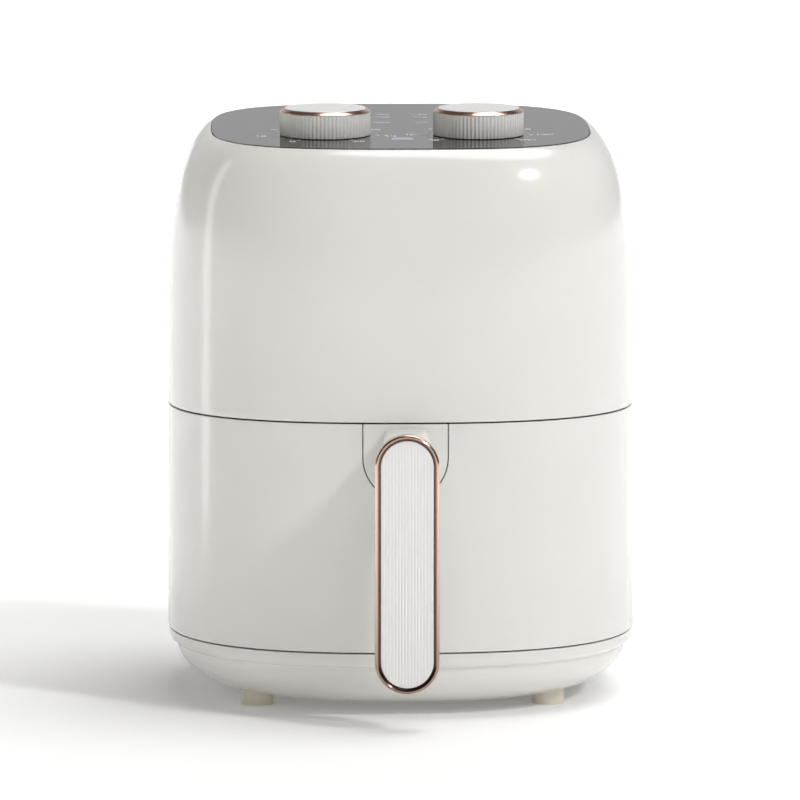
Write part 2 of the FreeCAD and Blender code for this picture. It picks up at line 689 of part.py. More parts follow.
def build_chassis_deck():
    """The deck over the heating chamber: holes for the shaft, heater legs and probe, air slots."""
    slab = plan_prism(-5, S.deck_level, S.deck_level + S.deck_plate).common(upper_void)
    plate = feature("deck_plate_form", slab)
    holes = [rod("deck_shaft_hole", "10", "20", "0", "0", "deck_level - 5")]
    for side in (-1, 1):
        holes.append(rod("deck_leg_hole", "heater_tube + 1.2", "20", f"{side} * heater_leg", leg_depth(),
                         "deck_level - 5"))
        for end in (-1, 1):
            holes.append(rod("deck_screw_hole", "screw_radius + 0.3", "20",
                             f"{side} * post_spread", f"{end} * post_spread", "deck_level - 5"))
    holes.append(rod("deck_probe_hole", "2.5", "20", "knob_spacing / 2", probe_depth(), "deck_level - 5"))
    for k in range(5):
        for side in (-1, 1):
            holes.append(mid_box("deck_slot", "4", "44", "20", f"{side} * {64 + 8 * k}", "24",
                                 "deck_level - 5"))
    node(cut("deck_cut", plate, holes), "chassis_deck")


def build_deck_screws():
    spots = [(f"{side} * post_spread", f"{end} * post_spread") for side, end in CORNERS]
    screws = screw_set("deck_screw", spots, "deck_level + deck_plate", "deck_plate + 10", "1.6", False)
    node(screws, "deck_screws")


# ---------------------------------------------------------------- heating chamber

def leg_depth():
    """Where the heater's legs stand, on its inner turn."""
    return "sqrt((heater_radius - heater_pitch)^2 - heater_leg^2)"


def probe_depth():
    """Where the thermostat's probe stands, under the unit's front part."""
    drop = "(panel_thickness + frame_thickness + unit_height)"
    return f"(probe_setback + knob_depth) * (0 - cos(panel_tilt)) + {drop} * sin(panel_tilt)"


def build_inner_liner():
    """The round sheet-metal chamber over the pan, with a flange, a rounded shoulder and a duct hole."""
    low = f"{CEILING_LOW} + ceiling_plate"
    top = "chamber_roof + sheet"
    body = new_body("liner_turned")
    sketch = body_sketch(body, "XZ_Plane", "liner_outline")
    corner = "chamber_radius - chamber_corner"
    bend = [(f"({corner}) + chamber_corner * {round(math.cos(a), 4)}",
             f"chamber_roof - chamber_corner + chamber_corner * {round(math.sin(a), 4)}")
            for a in (0, math.pi / 8, math.pi / 4, 3 * math.pi / 8, math.pi / 2)]
    outside = [(f"({corner}) + (chamber_corner + sheet) * {round(math.cos(a), 4)}",
                f"chamber_roof - chamber_corner + (chamber_corner + sheet) * {round(math.sin(a), 4)}")
               for a in (math.pi / 2, 3 * math.pi / 8, math.pi / 4, math.pi / 8, 0)]
    corners = [("chamber_radius", low)] + bend + [("10", "chamber_roof"), ("10", top)] + outside
    corners += [("chamber_radius + sheet", f"{low} + sheet"), ("chamber_radius + 7", f"{low} + sheet"),
                ("chamber_radius + 7", low)]
    draw_polygon(sketch, corners)
    revolve(body, sketch)
    holes = [mid_box("liner_duct_hole", "duct_width - 4", "60", "duct_height - 4",
                     "0", "chamber_radius", "vent_level - duct_height / 2 + 2")]
    for side in (-1, 1):
        holes.append(rod("liner_leg_hole", "heater_tube", "20", f"{side} * heater_leg", leg_depth(),
                         "chamber_roof - 5"))
    holes.append(rod("liner_probe_hole", "1.5", "20", "knob_spacing / 2", probe_depth(), "chamber_roof - 5"))
    node(cut("liner_cut", body, holes), "inner_liner")


def build_heat_shield():
    """A flat disc under the deck that keeps the chamber's heat from the motor."""
    holes = [("10", "0", "0"), ("heater_tube + 1.2", "heater_leg", leg_depth()),
             ("heater_tube + 1.2", "-heater_leg", leg_depth()),
             ("2.5", "knob_spacing / 2", probe_depth())]
    body = plate_body("shield_plate", "deck_level - 0.8", "0.8", "chamber_radius + 4", holes)
    node(body, "heat_shield")


def build_chamber_gasket():
    """A soft ring under the ceiling, round the chamber's mouth."""
    body = plate_body("gasket_ring", f"{CEILING_LOW} - 2.4", "2.4", "chamber_radius + 6",
                      [("chamber_radius + 1", "0", "0")])
    node(body, "chamber_gasket")


def heater_path():
    """The tube's centreline: down a leg, round the inner turn, back by the outer turn, up the other leg.

    Plan angles run from the back. The inner turn stops short of the far leg, a half circle leads
    to the outer turn, and that one steps in again over a short stretch to reach the far leg.
    """
    inner, outer, bend = S.heater_radius - S.heater_pitch, S.heater_radius, S.heater_bend
    leg_turn = math.degrees(math.asin(S.heater_leg / inner))
    bend_turn = math.degrees(bend / inner)
    far_turn, step_turn = 330.0, 20.0
    level, top = S.heater_level, S.deck_level + S.heater_stub

    def spot(radius, turn, height=level):
        a = math.radians(turn)
        return vec(-radius * math.sin(a), radius * math.cos(a), height)

    def leg(side):
        heights = [level + bend + (top - level - bend) * share for share in (1, 0.66, 0.33, 0)]
        upright = [spot(inner, side * leg_turn, height) for height in heights]
        curved = []
        for angle in (22.5, 45, 67.5):
            along, rise = 1 - math.cos(math.radians(angle)), 1 - math.sin(math.radians(angle))
            curved.append(spot(inner, side * leg_turn + bend_turn * along, level + bend * rise))
        return upright, curved

    upright, curved = leg(1)
    points = upright + curved
    start, steps = leg_turn + bend_turn, 22
    points += [spot(inner, start + (far_turn - start) * k / steps) for k in range(steps + 1)]
    middle, half = spot((inner + outer) / 2, far_turn), (outer - inner) / 2
    along, out = spot(1, far_turn + 90, 0), spot(1, far_turn, 0)
    for angle in (30, 60, 90, 120, 150):
        a = math.radians(angle)
        points.append(middle + along * (half * math.sin(a)) - out * (half * math.cos(a)))
    points += [spot(outer, far_turn + (step_turn - far_turn) * k / steps) for k in range(steps + 1)]
    upright, curved = leg(-1)
    end = -leg_turn + bend_turn
    for share in (0.2, 0.4, 0.6, 0.8, 1.0):
        radius = outer - (outer - inner) * (1 - math.cos(math.pi * share)) / 2
        points.append(spot(radius, step_turn + (end - step_turn) * share))
    return points + curved[::-1] + upright[::-1]


def build_heating_element():
    """A bare tubular heater of two turns, with both legs up through the chamber's roof."""
    points = heater_path()
    curve = Part.BSplineCurve()
    curve.interpolate(points)
    section = Part.Wire([Part.makeCircle(S.heater_tube, points[0], vec(0, 0, 1))])
    tube = Part.Wire([curve.toShape()]).makePipeShell([section], True, False)
    node(feature("heater_tube_form", tube), "heating_element")


def build_element_guard():
    """A wire guard under the heater: three rings on three cross wires."""
    parts = []
    for share in (0.3, 0.55, 0.8):
        ring = doc.addObject("Part::Torus", "guard_ring")
        bind(ring, Radius1=f"{share} * chamber_radius", Radius2="guard_wire")
        parts.append(put(ring, "0", "0", "guard_level"))
    for turn in (0, 60, 120):
        along = (math.cos(math.radians(turn)), math.sin(math.radians(turn)), 0)
        parts.append(rod("guard_cross_wire", "guard_wire", "2 * chamber_radius",
                         f"-chamber_radius * {round(along[0], 6)}",
                         f"-chamber_radius * {round(along[1], 6)}", "guard_level", along))
    wires = fuse("guard_wires", parts)
    inside = rod("guard_reach", "chamber_radius", "20", "0", "0", "guard_level - 10")
    node(common("guard_trimmed", wires, inside), "element_guard")


def build_air_duct():
    """The square duct from the chamber's back to the vent."""
    low, high = "vent_level - duct_height / 2", "duct_height"
    outer = mid_box("duct_outer", "duct_width", "80", high, "0", "chamber_radius", low)
    hole = mid_box("duct_hole", "duct_width - 4", "100", f"{high} - 4", "0", "chamber_radius", f"{low} + 2")
    chamber = rod("duct_chamber", "chamber_radius + sheet", "80", "0", "0", f"{low} - 10")
    tube = cut("duct_tube", outer, [hole, chamber])
    stop = mid_box("duct_stop", "2 * duct_width", "body_depth", "80", "0", "-vent_root", f"{low} - 10")
    node(common("duct_trimmed", tube, stop), "air_duct")


def build_vent_cover():
    """The raised slatted cover over the duct, which also keeps the back off a wall."""
    body = new_body("vent_block")
    outline = body_sketch(body, "XZ_Plane", "vent_outline")
    lift(outline, "-(body_depth / 2 + vent_reach)")
    half = "vent_width / 2"
    low, high = "vent_level - vent_height / 2", "vent_level + vent_height / 2"
    draw_polygon(outline, [(f"-{half}", low), (half, low), (half, high), (f"-{half}", high)])
    block = pad(body, outline, "vent_reach + vent_root")
    rounding = body.newObject("PartDesign::Fillet", "vent_corners")
    uprights = [f"Edge{k}" for k, edge in enumerate(block.Shape.Edges, start=1)
                if abs(edge.Length - S.vent_reach - S.vent_root) < 1e-6]
    rounding.Base = (block, uprights)
    bind(rounding, Radius="6")
    doc.recompute()
    slot = body_sketch(body, "XZ_Plane", "vent_slot")
    lift(slot, "-(body_depth / 2 + vent_reach)")
    slot_low = "vent_level - vent_height / 2 + vent_margin"
    slot_high = f"{slot_low} + vent_slot"
    reach = "(vent_width / 2 - 14)"
    draw_polygon(slot, [(f"-{reach}", slot_low), (reach, slot_low), (reach, slot_high),
                        (f"-{reach}", slot_high)])
    first = pocket(body, slot, "vent_reach + vent_root", "slot", True)
    rows = body.newObject("PartDesign::LinearPattern", "slots")
    rows.Originals = [first]
    rows.Direction = (slot, ["V_Axis"])
    bind(rows, Length="vent_height - 2 * vent_margin - vent_slot")
    rows.Occurrences = int(round(S.vent_slots))
    body.Tip = rows
    doc.recompute()
    wall = upper_form(SHELL_LOW).cut(upper_void).cut(vent_opening())
    node(cut("vent_cut", body, feature("vent_wall_form", wall)), "rear_vent_cover")


def build_cord_gland():
    """The flanged bush in the back wall that the supply cord passes through."""
    body = new_body("gland_turned")
    outline = body_sketch(body, "XY_Plane", "gland_outline")
    back = "(body_depth / 2 + 0.1)"
    draw_polygon(outline, [("gland_bore", f"{back} - 6"), ("gland_radius", f"{back} - 6"),
                           ("gland_radius", back), ("gland_radius + 2.5", back),
                           ("gland_radius + 2.5", f"{back} + 1.6"), ("gland_radius + 1.4", f"{back} + 2.6"),
                           ("gland_bore", f"{back} + 2.6")])
    revolve(body, outline)
    obj = node(body, "cord_gland")
    put(obj, "0", BODY_SHIFT, "gland_level")


# ---------------------------------------------------------------- motor and fans

def build_motor_brackets():
    """A lower channel and an upper bridge that hold the motor on the deck."""
    floor = "deck_level + deck_plate"
    half = "stator_size / 2"
    sheet_half = "bracket_sheet / 2"
    parts = [mid_box("lower_strap", "bracket_width", "stator_size", "bracket_sheet", "0", "0", floor)]
    for end in (-1, 1):
        parts.append(mid_box("lower_upstand", "bracket_width", "bracket_sheet", f"stator_level - ({floor})",
                             "0", f"{end} * ({half} - {sheet_half})", floor))
    lower_hole = rod("lower_bush_hole", "bush_radius", "20", "0", "0", floor)
    lower = cut("lower_bracket", fuse("lower_channel", parts), lower_hole)
    level = "stator_level + stator_height + 6"
    bridge = [mid_box("upper_strap", "stator_size + 20", "bridge_width", "bracket_sheet", "0", "0", level)]
    for side in (-1, 1):
        bridge.append(mid_box("upper_leg", "4", "bridge_width", f"{level} + {sheet_half} - ({floor})",
                              f"{side} * ({half} + 8)", "0", floor))
    upper_hole = rod("upper_bush_hole", "bush_radius", "20", "0", "0", level)
    upper = cut("upper_bracket", fuse("upper_bridge", bridge), upper_hole)
    node(fuse("bracket_pair", [lower, upper]), "motor_brackets")


def build_motor_bushes():
    """The two plain bushes that the motor shaft runs in."""
    bore = "shaft_radius + bush_fit"
    levels = ("deck_level + deck_plate", "stator_level + stator_height + 5")
    bushes = []
    for k, level in enumerate(levels):
        top = f"{level} + bush_height"
        bushes.append(turned(f"bush_{k}", [(bore, level), ("bush_radius", level), ("bush_radius", top),
                                           (bore, top)]))
    node(fuse("bush_pair", bushes), "motor_bushes")


def build_motor_stator():
    """The square lamination stack with a round bore for the rotor."""
    body = new_body("stator_stack")
    sketch = body_sketch(body, "XY_Plane", "stator_outline")
    lift(sketch, "stator_level")
    half, cut_in = "stator_size / 2", "(stator_size / 2 - 7)"
    draw_polygon(sketch, [(half, f"-{cut_in}"), (half, cut_in), (cut_in, half), (f"-{cut_in}", half),
                          (f"-{half}", cut_in), (f"-{half}", f"-{cut_in}"), (f"-{cut_in}", f"-{half}"),
                          (cut_in, f"-{half}")])
    draw_circle(sketch, "rotor_radius + 0.4")
    pad(body, sketch, "stator_height")
    node(body, "motor_stator")


def build_motor_coil():
    """The copper end windings above and below the lamination stack."""
    rings = []
    for k, level in enumerate(("stator_level - winding_height", "stator_level + stator_height")):
        rings.append(plate_body(f"winding_{k}", level, "winding_height", "rotor_radius + 5.5",
                                [("rotor_radius + 0.8", "0", "0")]))
    node(fuse("winding_pair", rings), "motor_coil")


def build_motor_rotor():
    body = plate_body("rotor_drum", "stator_level + 0.5", "stator_height - 1", "rotor_radius",
                      [("shaft_radius", "0", "0")])
    node(body, "motor_rotor")


def build_motor_shaft():
    node(rod("shaft_rod", "shaft_radius", "cooler_level + cooler_height + 1 - fan_level + 4",
             "0", "0", "0"), "motor_shaft")
    put(NODES[-1], "0", BODY_SHIFT, "fan_level - 4")


def build_fans():
    """The impeller in the chamber and the cooling fan over the motor."""
    node(bladed_wheel("impeller", "fan_level", "fan_height", "fan_radius", "1.5", 12), "hot_air_impeller")
    node(bladed_wheel("cooler", "cooler_level", "cooler_height", "cooler_radius", "1.4", 9,
                      plate_on_top=False), "cooling_fan")


def build_impeller_nut():
    """The hexagon nut that holds the impeller on its shaft."""
    block = doc.addObject("Part::Prism", "nut_block")
    block.Polygon = 6
    bind(block, Circumradius="shaft_radius * 1.9", Height="4")
    hole = rod("nut_hole", "shaft_radius", "4")
    node(cut("nut_cut", block, hole), "impeller_nut")
    put(NODES[-1], "0", BODY_SHIFT, "fan_level - 4")


# ---------------------------------------------------------------- panel and controls

def neck_holes(name, radius):
    """A hole for each control unit's neck."""
    return [rod(f"{name}_{side}", radius, "20", f"{side} * knob_spacing / 2", "-knob_depth", "-10")
            for side in (-1, 1)]


def build_control_panel():
    """The glossy panel with a hole for each control's neck and a window for the lens."""
    form = panel_prism(RIM_X - S.panel_lip, RIM_Y - S.panel_lip, -S.panel_thickness, 0)
    holes = neck_holes("panel_hole", "boss_radius + 0.1")
    holes.append(mid_box("panel_window", "lens_width", "lens_depth", "20", "0", "-lens_setback", "-10"))
    panel_node(cut("panel_cut", feature("panel_form", form), holes), "control_panel")


def build_panel_frame():
    """The stiff frame glued under the panel, which carries the control units."""
    form = panel_prism(RIM_X - 7, RIM_Y - 7, -S.panel_thickness - S.frame_thickness, -S.panel_thickness)
    holes = neck_holes("frame_hole", "boss_radius")
    holes.append(mid_box("frame_window", "lens_width - 2", "lens_depth - 2", "20",
                         "0", "-lens_setback", "-10"))
    panel_node(cut("frame_cut", feature("frame_form", form), holes), "panel_frame")


def build_indicator():
    """The indicator lens in its window, and the small lamp board under the frame."""
    body = new_body("lens_block")
    sketch = body_sketch(body, "XY_Plane", "lens_outline")
    lift(sketch, "-panel_thickness")
    half, deep = "lens_width / 2", "lens_depth / 2"
    draw_polygon(sketch, [(f"-{half}", f"-{deep}"), (half, f"-{deep}"), (half, deep), (f"-{half}", deep)])
    pad(body, sketch, "panel_thickness")
    panel_node(body, "indicator_lens", "0", "-lens_setback")
    low = "-panel_thickness - frame_thickness"
    board = mid_box("lamp_board", "lens_width + 6", "lens_depth + 4", "1.6", "0", "0", f"{low} - 1.6")
    lamps = [mid_box(f"lamp_{k}", "4", "2.4", "2.2", f"{side} * 2.4", "0", f"{low} - 0.4")
             for k, side in enumerate((-1, 1))]
    panel_node(fuse("lamp_group", [board] + lamps), "indicator_lamp", "0", "-lens_setback")


def control_unit(name, width, side):
    """A closed control unit with a neck through the panel and a bore for its shaft."""
    top = "(-panel_thickness - frame_thickness)"
    block = mid_box(name + "_case", width, "unit_depth", "unit_height", "0", "0", f"{top} - unit_height")
    neck = rod(name + "_neck", "boss_radius", "panel_thickness + frame_thickness + 1", "0", "0", f"{top} - 1")
    tools = [rod(name + "_bore", "control_shaft + bush_fit", "unit_height + 4", "0", "0",
                 f"{top} - unit_height + 3")]
    if side > 0:
        tools.append(rod(name + "_probe_socket", "probe_radius + 0.7", "8", "0", "-probe_setback",
                         f"{top} - unit_height"))
    unit = cut(name + "_cut", fuse(name + "_block", [block, neck]), tools)
    panel_node(unit, name, f"{side} * knob_spacing / 2", "-knob_depth")


def build_units():
    """The clockwork timer on the left with its bell, and the thermostat on the right with its probe."""
    control_unit("timer_unit", "timer_width", -1)
    control_unit("thermostat_unit", "thermostat_width", 1)
    top = "(-panel_thickness - frame_thickness - unit_height)"
    dome = [(0, 1), (0.45, 0.95), (0.8, 0.7), (0.97, 0.3), (1, 0), (0, 0)]
    bell = turned("bell_turned", [(f"{out} * bell_radius", f"{top} - {down} * bell_height")
                                  for out, down in dome])
    panel_node(bell, "timer_bell", "-knob_spacing / 2", "-knob_depth")
    tip = "fan_level + 1.5"
    drop = "(panel_thickness + frame_thickness + unit_height)"
    rise = f"panel_level - (probe_setback + knob_depth) * sin(panel_tilt) - {drop} * cos(panel_tilt)"
    probe = rod("probe_rod", "probe_radius", f"({rise}) + 4 - ({tip})")
    node(probe, "thermostat_probe")
    put(probe, "knob_spacing / 2", f"{BODY_SHIFT} + ({probe_depth()})", tip)


def fluted_disc(low, height):
    """A knob's wall as a prism: shallow round flutes side by side round a circle."""
    count = int(round(S.knob_flutes))
    edges = []
    for k in range(count):
        start, end = 2 * math.pi * k / count, 2 * math.pi * (k + 1) / count
        middle = (start + end) / 2
        hollow = S.knob_radius - S.flute_depth
        spots = [vec(radius * math.cos(turn), radius * math.sin(turn), low)
                 for radius, turn in ((S.knob_radius, start), (hollow, middle), (S.knob_radius, end))]
        edges.append(Part.Arc(*spots).toShape())
    return Part.Face(Part.Wire(edges)).extrude(vec(0, 0, height))


def build_knob(name, side):
    """One control: a fluted knob with a bright sloping ring, a cap and a shaft."""
    x, y = f"{side} * knob_spacing / 2", "-knob_depth"
    top = "(knob_gap + knob_wall)"
    wall = feature(name + "_wall_form", fluted_disc(S.knob_gap, S.knob_wall))
    inner, outer = "boss_radius + 1", "knob_radius - 4"
    hollow = turned(name + "_hollow", [(inner, "knob_gap - 1"), (outer, "knob_gap - 1"),
                                       (outer, f"{top} - 4"), (inner, f"{top} - 4")])
    bore = rod(name + "_bore", "control_shaft", f"{top} - 3.5", "0", "0", "0")
    panel_node(cut(name + "_knob_cut", wall, [hollow, bore]), name + "_knob", x, y)
    ring = turned(name + "_ring_turned", [("knob_cap_radius - 0.8", top), ("knob_radius", top),
                                          ("knob_cap_radius", f"{top} + knob_ring_height"),
                                          ("knob_cap_radius - 0.8", f"{top} + knob_ring_height")])
    panel_node(ring, name + "_knob_ring", x, y)
    cap = turned(name + "_cap_turned", [("0", top), ("knob_cap_radius - 0.8", top),
                                        ("knob_cap_radius - 0.8", f"{top} + knob_ring_height - 0.4"),
                                        ("knob_cap_radius - 1.6", f"{top} + knob_ring_height"),
                                        ("0", f"{top} + knob_ring_height")])
    panel_node(cap, name + "_knob_cap", x, y)
    depth = "panel_thickness + frame_thickness + unit_height - 3.5"
    shaft = turned(name + "_shaft_turned", [("0", f"-({depth})"), ("control_shaft", f"-({depth})"),
                                            ("control_shaft", f"{top} - 3.5"), ("0", f"{top} - 3.5")])
    panel_node(shaft, name + "_shaft", x, y)


# ---------------------------------------------------------------- drawer, pan and handle

def plate_outline(grow):
    """The upright plate's outline at the drawer: straight sides and a round lower end."""
    half = S.plate_width / 2 + grow
    low = DRAWER_HIGH - S.plate_straight
    front = -S.body_depth / 2 - 5
    corners = [vec(-half, front, low), vec(-half, front, DRAWER_HIGH + 5), vec(half, front, DRAWER_HIGH + 5),
               vec(half, front, low)]
    edges = [Part.LineSegment(corners[k], corners[k + 1]).toShape() for k in range(3)]
    edges.append(Part.Arc(corners[3], vec(0, front, low - half), corners[0]).toShape())
    return Part.Face(Part.Wire(edges)).extrude(vec(0, 30, 0))


def build_drawer_front():
    """The drawer's rounded front wall, and the plate let into it behind the handle."""
    wall = lower_wall.common(half_space(S.split_depth, True))
    front = wall.cut(plate_outline(S.plate_gap))
    spots = screw_levels()
    plate = wall.common(plate_outline(0.0))
    for level in spots:
        start = vec(0, -S.body_depth / 2 - 10, level)
        plate = plate.cut(Part.makeCylinder(S.screw_radius + 0.3, 40, start, vec(0, 1, 0)))
    node(feature("drawer_front_form", front), "drawer_front")
    node(feature("handle_plate_form", plate), "handle_plate")


def screw_levels():
    """Levels of the two screws that hold the handle's neck."""
    neck_top = DRAWER_HIGH - 2
    return [neck_top - S.neck_height * share for share in (0.36, 0.76)]


def build_reinforcement():
    """The stiff pad inside the drawer front that the handle's screws pull against."""
    half = S.plate_width / 2 + 5
    low, high = DRAWER_HIGH - S.plate_straight - S.plate_width / 2 - 6, S.pan_rim - S.frame_plate - 1
    front = -S.body_depth / 2 + S.shell_wall - 1
    block = Part.makeBox(2 * half, 5, high - low, vec(-half, front, low)).common(lower_void)
    for level in screw_levels():
        start = vec(0, front - 10, level)
        block = block.cut(Part.makeCylinder(S.screw_radius + 0.3, 40, start, vec(0, 1, 0)))
    node(feature("reinforcement_form", block), "handle_reinforcement")


def build_handle():
    """The handle: a slim upright grip on a flared neck, with a bright ring and a ribbed insert."""
    low, high = "handle_bottom", "handle_bottom + handle_height"
    face = "body_depth / 2"
    body = new_body("grip_body")
    outline = body_sketch(body, "XZ_Plane", "grip_outline")
    lift(outline, f"{face} + grip_gap")
    draw_stadium(outline, "handle_width", low, high)
    grip = pad(body, outline, "grip_thickness", "grip")
    back = -(S.body_depth / 2 + S.grip_gap)
    rim = [f"Edge{k}" for k, edge in enumerate(grip.Shape.Edges, start=1)
           if all(abs(v.Point.y - back) < 1e-6 for v in edge.Vertexes)]
    soft = body.newObject("PartDesign::Fillet", "grip_back")
    soft.Base = (grip, rim)
    bind(soft, Radius="grip_round")
    doc.recompute()
    neck_top = "(drawer_level - seam_gap / 2 - 2)"
    start = body_sketch(body, "XZ_Plane", "neck_start")
    lift(start, f"{face} - 3")
    side, foot = "neck_width / 2", f"({neck_top} - neck_height)"
    draw_polygon(start, [(f"-{side}", foot), (side, foot), (side, neck_top), (f"-{side}", neck_top)])
    end = body_sketch(body, "XZ_Plane", "neck_end")
    lift(end, f"{face} + grip_gap + 5")
    side = "(handle_width / 2 - 1.6)"
    crown = f"({high} - handle_width / 2 + 6)"
    shoulder = f"({high} - handle_width / 2 - neck_height + 6)"
    draw_polygon(end, [(f"-{side}", shoulder), (side, shoulder), (side, crown), (f"-{side}", crown)])
    neck = body.newObject("PartDesign::AdditiveLoft", "neck")
    neck.Profile = start
    neck.Sections = [end]
    neck.Ruled = True
    doc.recompute()
    wall = feature("handle_wall_form", lower_outer.copy())
    bores = [wall]
    for k, level in enumerate(screw_levels()):
        bores.append(rod(f"neck_bore_{k}", "screw_radius + screw_fit", "22", "0", f"-({face}) + 4",
                         str(round(level, 4)), (0, -1, 0)))
    node(cut("handle_cut", body, bores), "handle_shell")

    ring = new_body("ring_body")
    band = body_sketch(ring, "XZ_Plane", "ring_outline")
    lift(band, f"{face} + grip_gap + grip_thickness")
    draw_stadium(band, "handle_width", low, high)
    draw_stadium(band, "handle_width - 2 * ring_width", f"{low} + ring_width", f"{high} - ring_width")
    bar = pad(ring, band, "ring_height", "bar")
    front = -(S.body_depth / 2 + S.grip_gap + S.grip_thickness + S.ring_height)
    crest = [f"Edge{k}" for k, edge in enumerate(bar.Shape.Edges, start=1)
             if all(abs(v.Point.y - front) < 1e-6 for v in edge.Vertexes)]
    rounding = ring.newObject("PartDesign::Fillet", "ring_crest")
    rounding.Base = (bar, crest)
    bind(rounding, Radius="0.42 * ring_width")
    doc.recompute()
    node(ring, "handle_trim_ring")

    insert = new_body("insert_body")
    face_sketch = body_sketch(insert, "XZ_Plane", "insert_outline")
    lift(face_sketch, f"{face} + grip_gap + grip_thickness")
    draw_stadium(face_sketch, "handle_width - 2 * ring_width", f"{low} + ring_width", f"{high} - ring_width")
    pad(insert, face_sketch, "insert_thickness", "insert")
    groove = body_sketch(insert, "XZ_Plane", "groove_outline")
    lift(groove, f"{face} + grip_gap + grip_thickness + insert_thickness")
    left = "(-rib_pitch * (rib_count - 1) / 2)"
    tip = "(handle_width / 2 + 4)"
    start, end = f"{left} - groove_width / 2", f"{left} + groove_width / 2"
    draw_polygon(groove, [(start, f"{low} + {tip}"), (end, f"{low} + {tip}"),
                          (end, f"{high} - {tip}"), (start, f"{high} - {tip}")])
    first = pocket(insert, groove, "groove_depth", "groove")
    rows = insert.newObject("PartDesign::LinearPattern", "grooves")
    rows.Originals = [first]
    rows.Direction = (groove, ["H_Axis"])
    bind(rows, Length="rib_pitch * (rib_count - 1)")
    rows.Occurrences = int(round(S.rib_count))
    insert.Tip = rows
    doc.recompute()
    node(insert, "handle_insert")


def build_handle_screws():
    """The two screws from inside the drawer front into the handle's neck."""
    inner = "(-body_depth / 2 + shell_wall + 4)"
    pieces = []
    for k, level in enumerate(screw_levels()):
        text = str(round(level, 4))
        pieces.append(rod(f"handle_screw_head_{k}", "screw_head", "2", "0", f"{inner} + 2", text,
                          (0, -1, 0)))
        pieces.append(rod(f"handle_screw_shank_{k}", "screw_radius", "shell_wall + 18", "0", inner, text,
                          (0, -1, 0)))
    node(fuse("handle_screw_group", pieces), "handle_screws")


def pan_form(inset, low, high):
    """The pan's tapered form with a rounded lower edge, moved in by inset."""
    def wire(drawn_in, level):
        drawn_in += inset
        return ring_wire(S.pan_width / 2 - drawn_in, S.pan_depth / 2 - drawn_in, S.pan_power, level)
    bend = [math.radians(angle) for angle in (0, 22.5, 45, 67.5, 90)]
    wires = [wire(S.pan_corner * (1 - math.sin(a)), low + S.pan_corner * (1 - math.cos(a))) for a in bend]
    return loft(wires + [wire(0.0, high)])


def build_pan():
    """The deep pan with a flange, and a tab at the back that meets the door switch."""
    flange_top = S.pan_rim + S.pan_wall
    tub = pan_form(0.0, S.pan_bottom, flange_top)
    wire = ring_wire(S.pan_width / 2 + S.pan_flange, S.pan_depth / 2 + S.pan_flange, S.plan_power, S.pan_rim)
    flange = Part.Face(wire).extrude(vec(0, 0, S.pan_wall))
    tab_depth = S.body_depth / 2 - S.shell_wall - S.bay_inset - S.bay_wall - 1.4
    corner = vec(-S.pan_tab / 2, S.pan_depth / 2, S.pan_rim)
    tab = Part.makeBox(S.pan_tab, tab_depth - S.pan_depth / 2, S.pan_wall, corner)
    hollow = pan_form(S.pan_wall, S.pan_bottom + S.pan_wall, flange_top + 2)
    node(feature("pan_form", tub.fuse(flange.fuse(tab)).cut(hollow)), "pan")


def build_drawer_frame():
    """The frame that joins the drawer front to the pan's flange, and the block under it."""
    low = S.pan_rim - S.frame_plate
    slab = plan_prism(-5, low, S.pan_rim).common(lower_void).common(half_space(-S.bay_front - 4, True))
    hole = ring_wire(S.pan_width / 2 + 0.6, S.pan_depth / 2 + 0.6, S.pan_power, low - 5)
    slab = slab.cut(Part.Face(hole).extrude(vec(0, 0, 20)))
    node(feature("drawer_frame_form", slab), "drawer_inner_frame")
    pad_back = -S.body_depth / 2 + S.shell_wall + 4
    block_low = DRAWER_HIGH - S.plate_straight - S.plate_width / 2 - 4
    block_high = screw_levels()[1] - S.screw_head - 3
    block = Part.makeBox(28, 60, block_high - block_low, vec(-14, pad_back, block_low))
    node(feature("pan_bracket_form", block.cut(pan_form(0.0, S.pan_bottom, S.pan_rim))), "pan_bracket")


def build_crisper_plate():
    """The lift-out plate in the pan: rows of air slots, four soft bumpers and a centre grip."""
    inset = S.pan_wall + S.plate_margin
    half_x, half_y = S.pan_width / 2 - inset, S.pan_depth / 2 - inset
    wire = ring_wire(half_x, half_y, S.pan_power, S.plate_level)
    plate = Part.Face(wire).extrude(vec(0, 0, S.plate_thickness))
    slots = []
    rows = int((half_y - 16) // S.slot_pitch)
    columns = int((half_x - 20) // (S.plate_slot + 8))
    for row in range(-rows, rows + 1):
        for column in range(-columns, columns + 1):
            x, y = column * (S.plate_slot + 8), row * S.slot_pitch
            near_grip = math.hypot(x, y) < S.grip_radius + 12
            far = abs(x / (half_x - 6)) ** S.pan_power + abs(y / (half_y - 6)) ** S.pan_power > 0.8
            if near_grip or far:
                continue
            slots.append(Part.makeBox(S.plate_slot, S.slot_width, 10,
                                      vec(x - S.plate_slot / 2, y - S.slot_width / 2, S.plate_level - 4)))
    node(feature("crisper_plate_form", plate.cut(Part.makeCompound(slots))), "crisper_plate")
    top = "plate_level + plate_thickness"
    grip = turned("grip_turned", [("0", top), ("grip_radius", top), ("grip_radius", f"{top} + 1.5"),
                                  ("4", f"{top} + 3"), ("4", f"{top} + 9"), ("grip_radius", f"{top} + 11"),
                                  ("grip_radius", f"{top} + 14"), ("grip_radius - 2", f"{top} + 15.5"),
                                  ("0", f"{top} + 15.5")])
    node(grip, "plate_grip")


def build_plate_bumpers():
    """Four soft feet under the plate, which stand on the pan's floor."""
    bumpers = [rod("bumper", "bumper_radius", "plate_level - pan_bottom - pan_wall",
                   f"{side} * 0.3 * pan_width", f"{end} * 0.275 * pan_depth", "pan_bottom + pan_wall")
               for side, end in CORNERS]
    node(fuse("bumper_group", bumpers), "plate_bumpers")


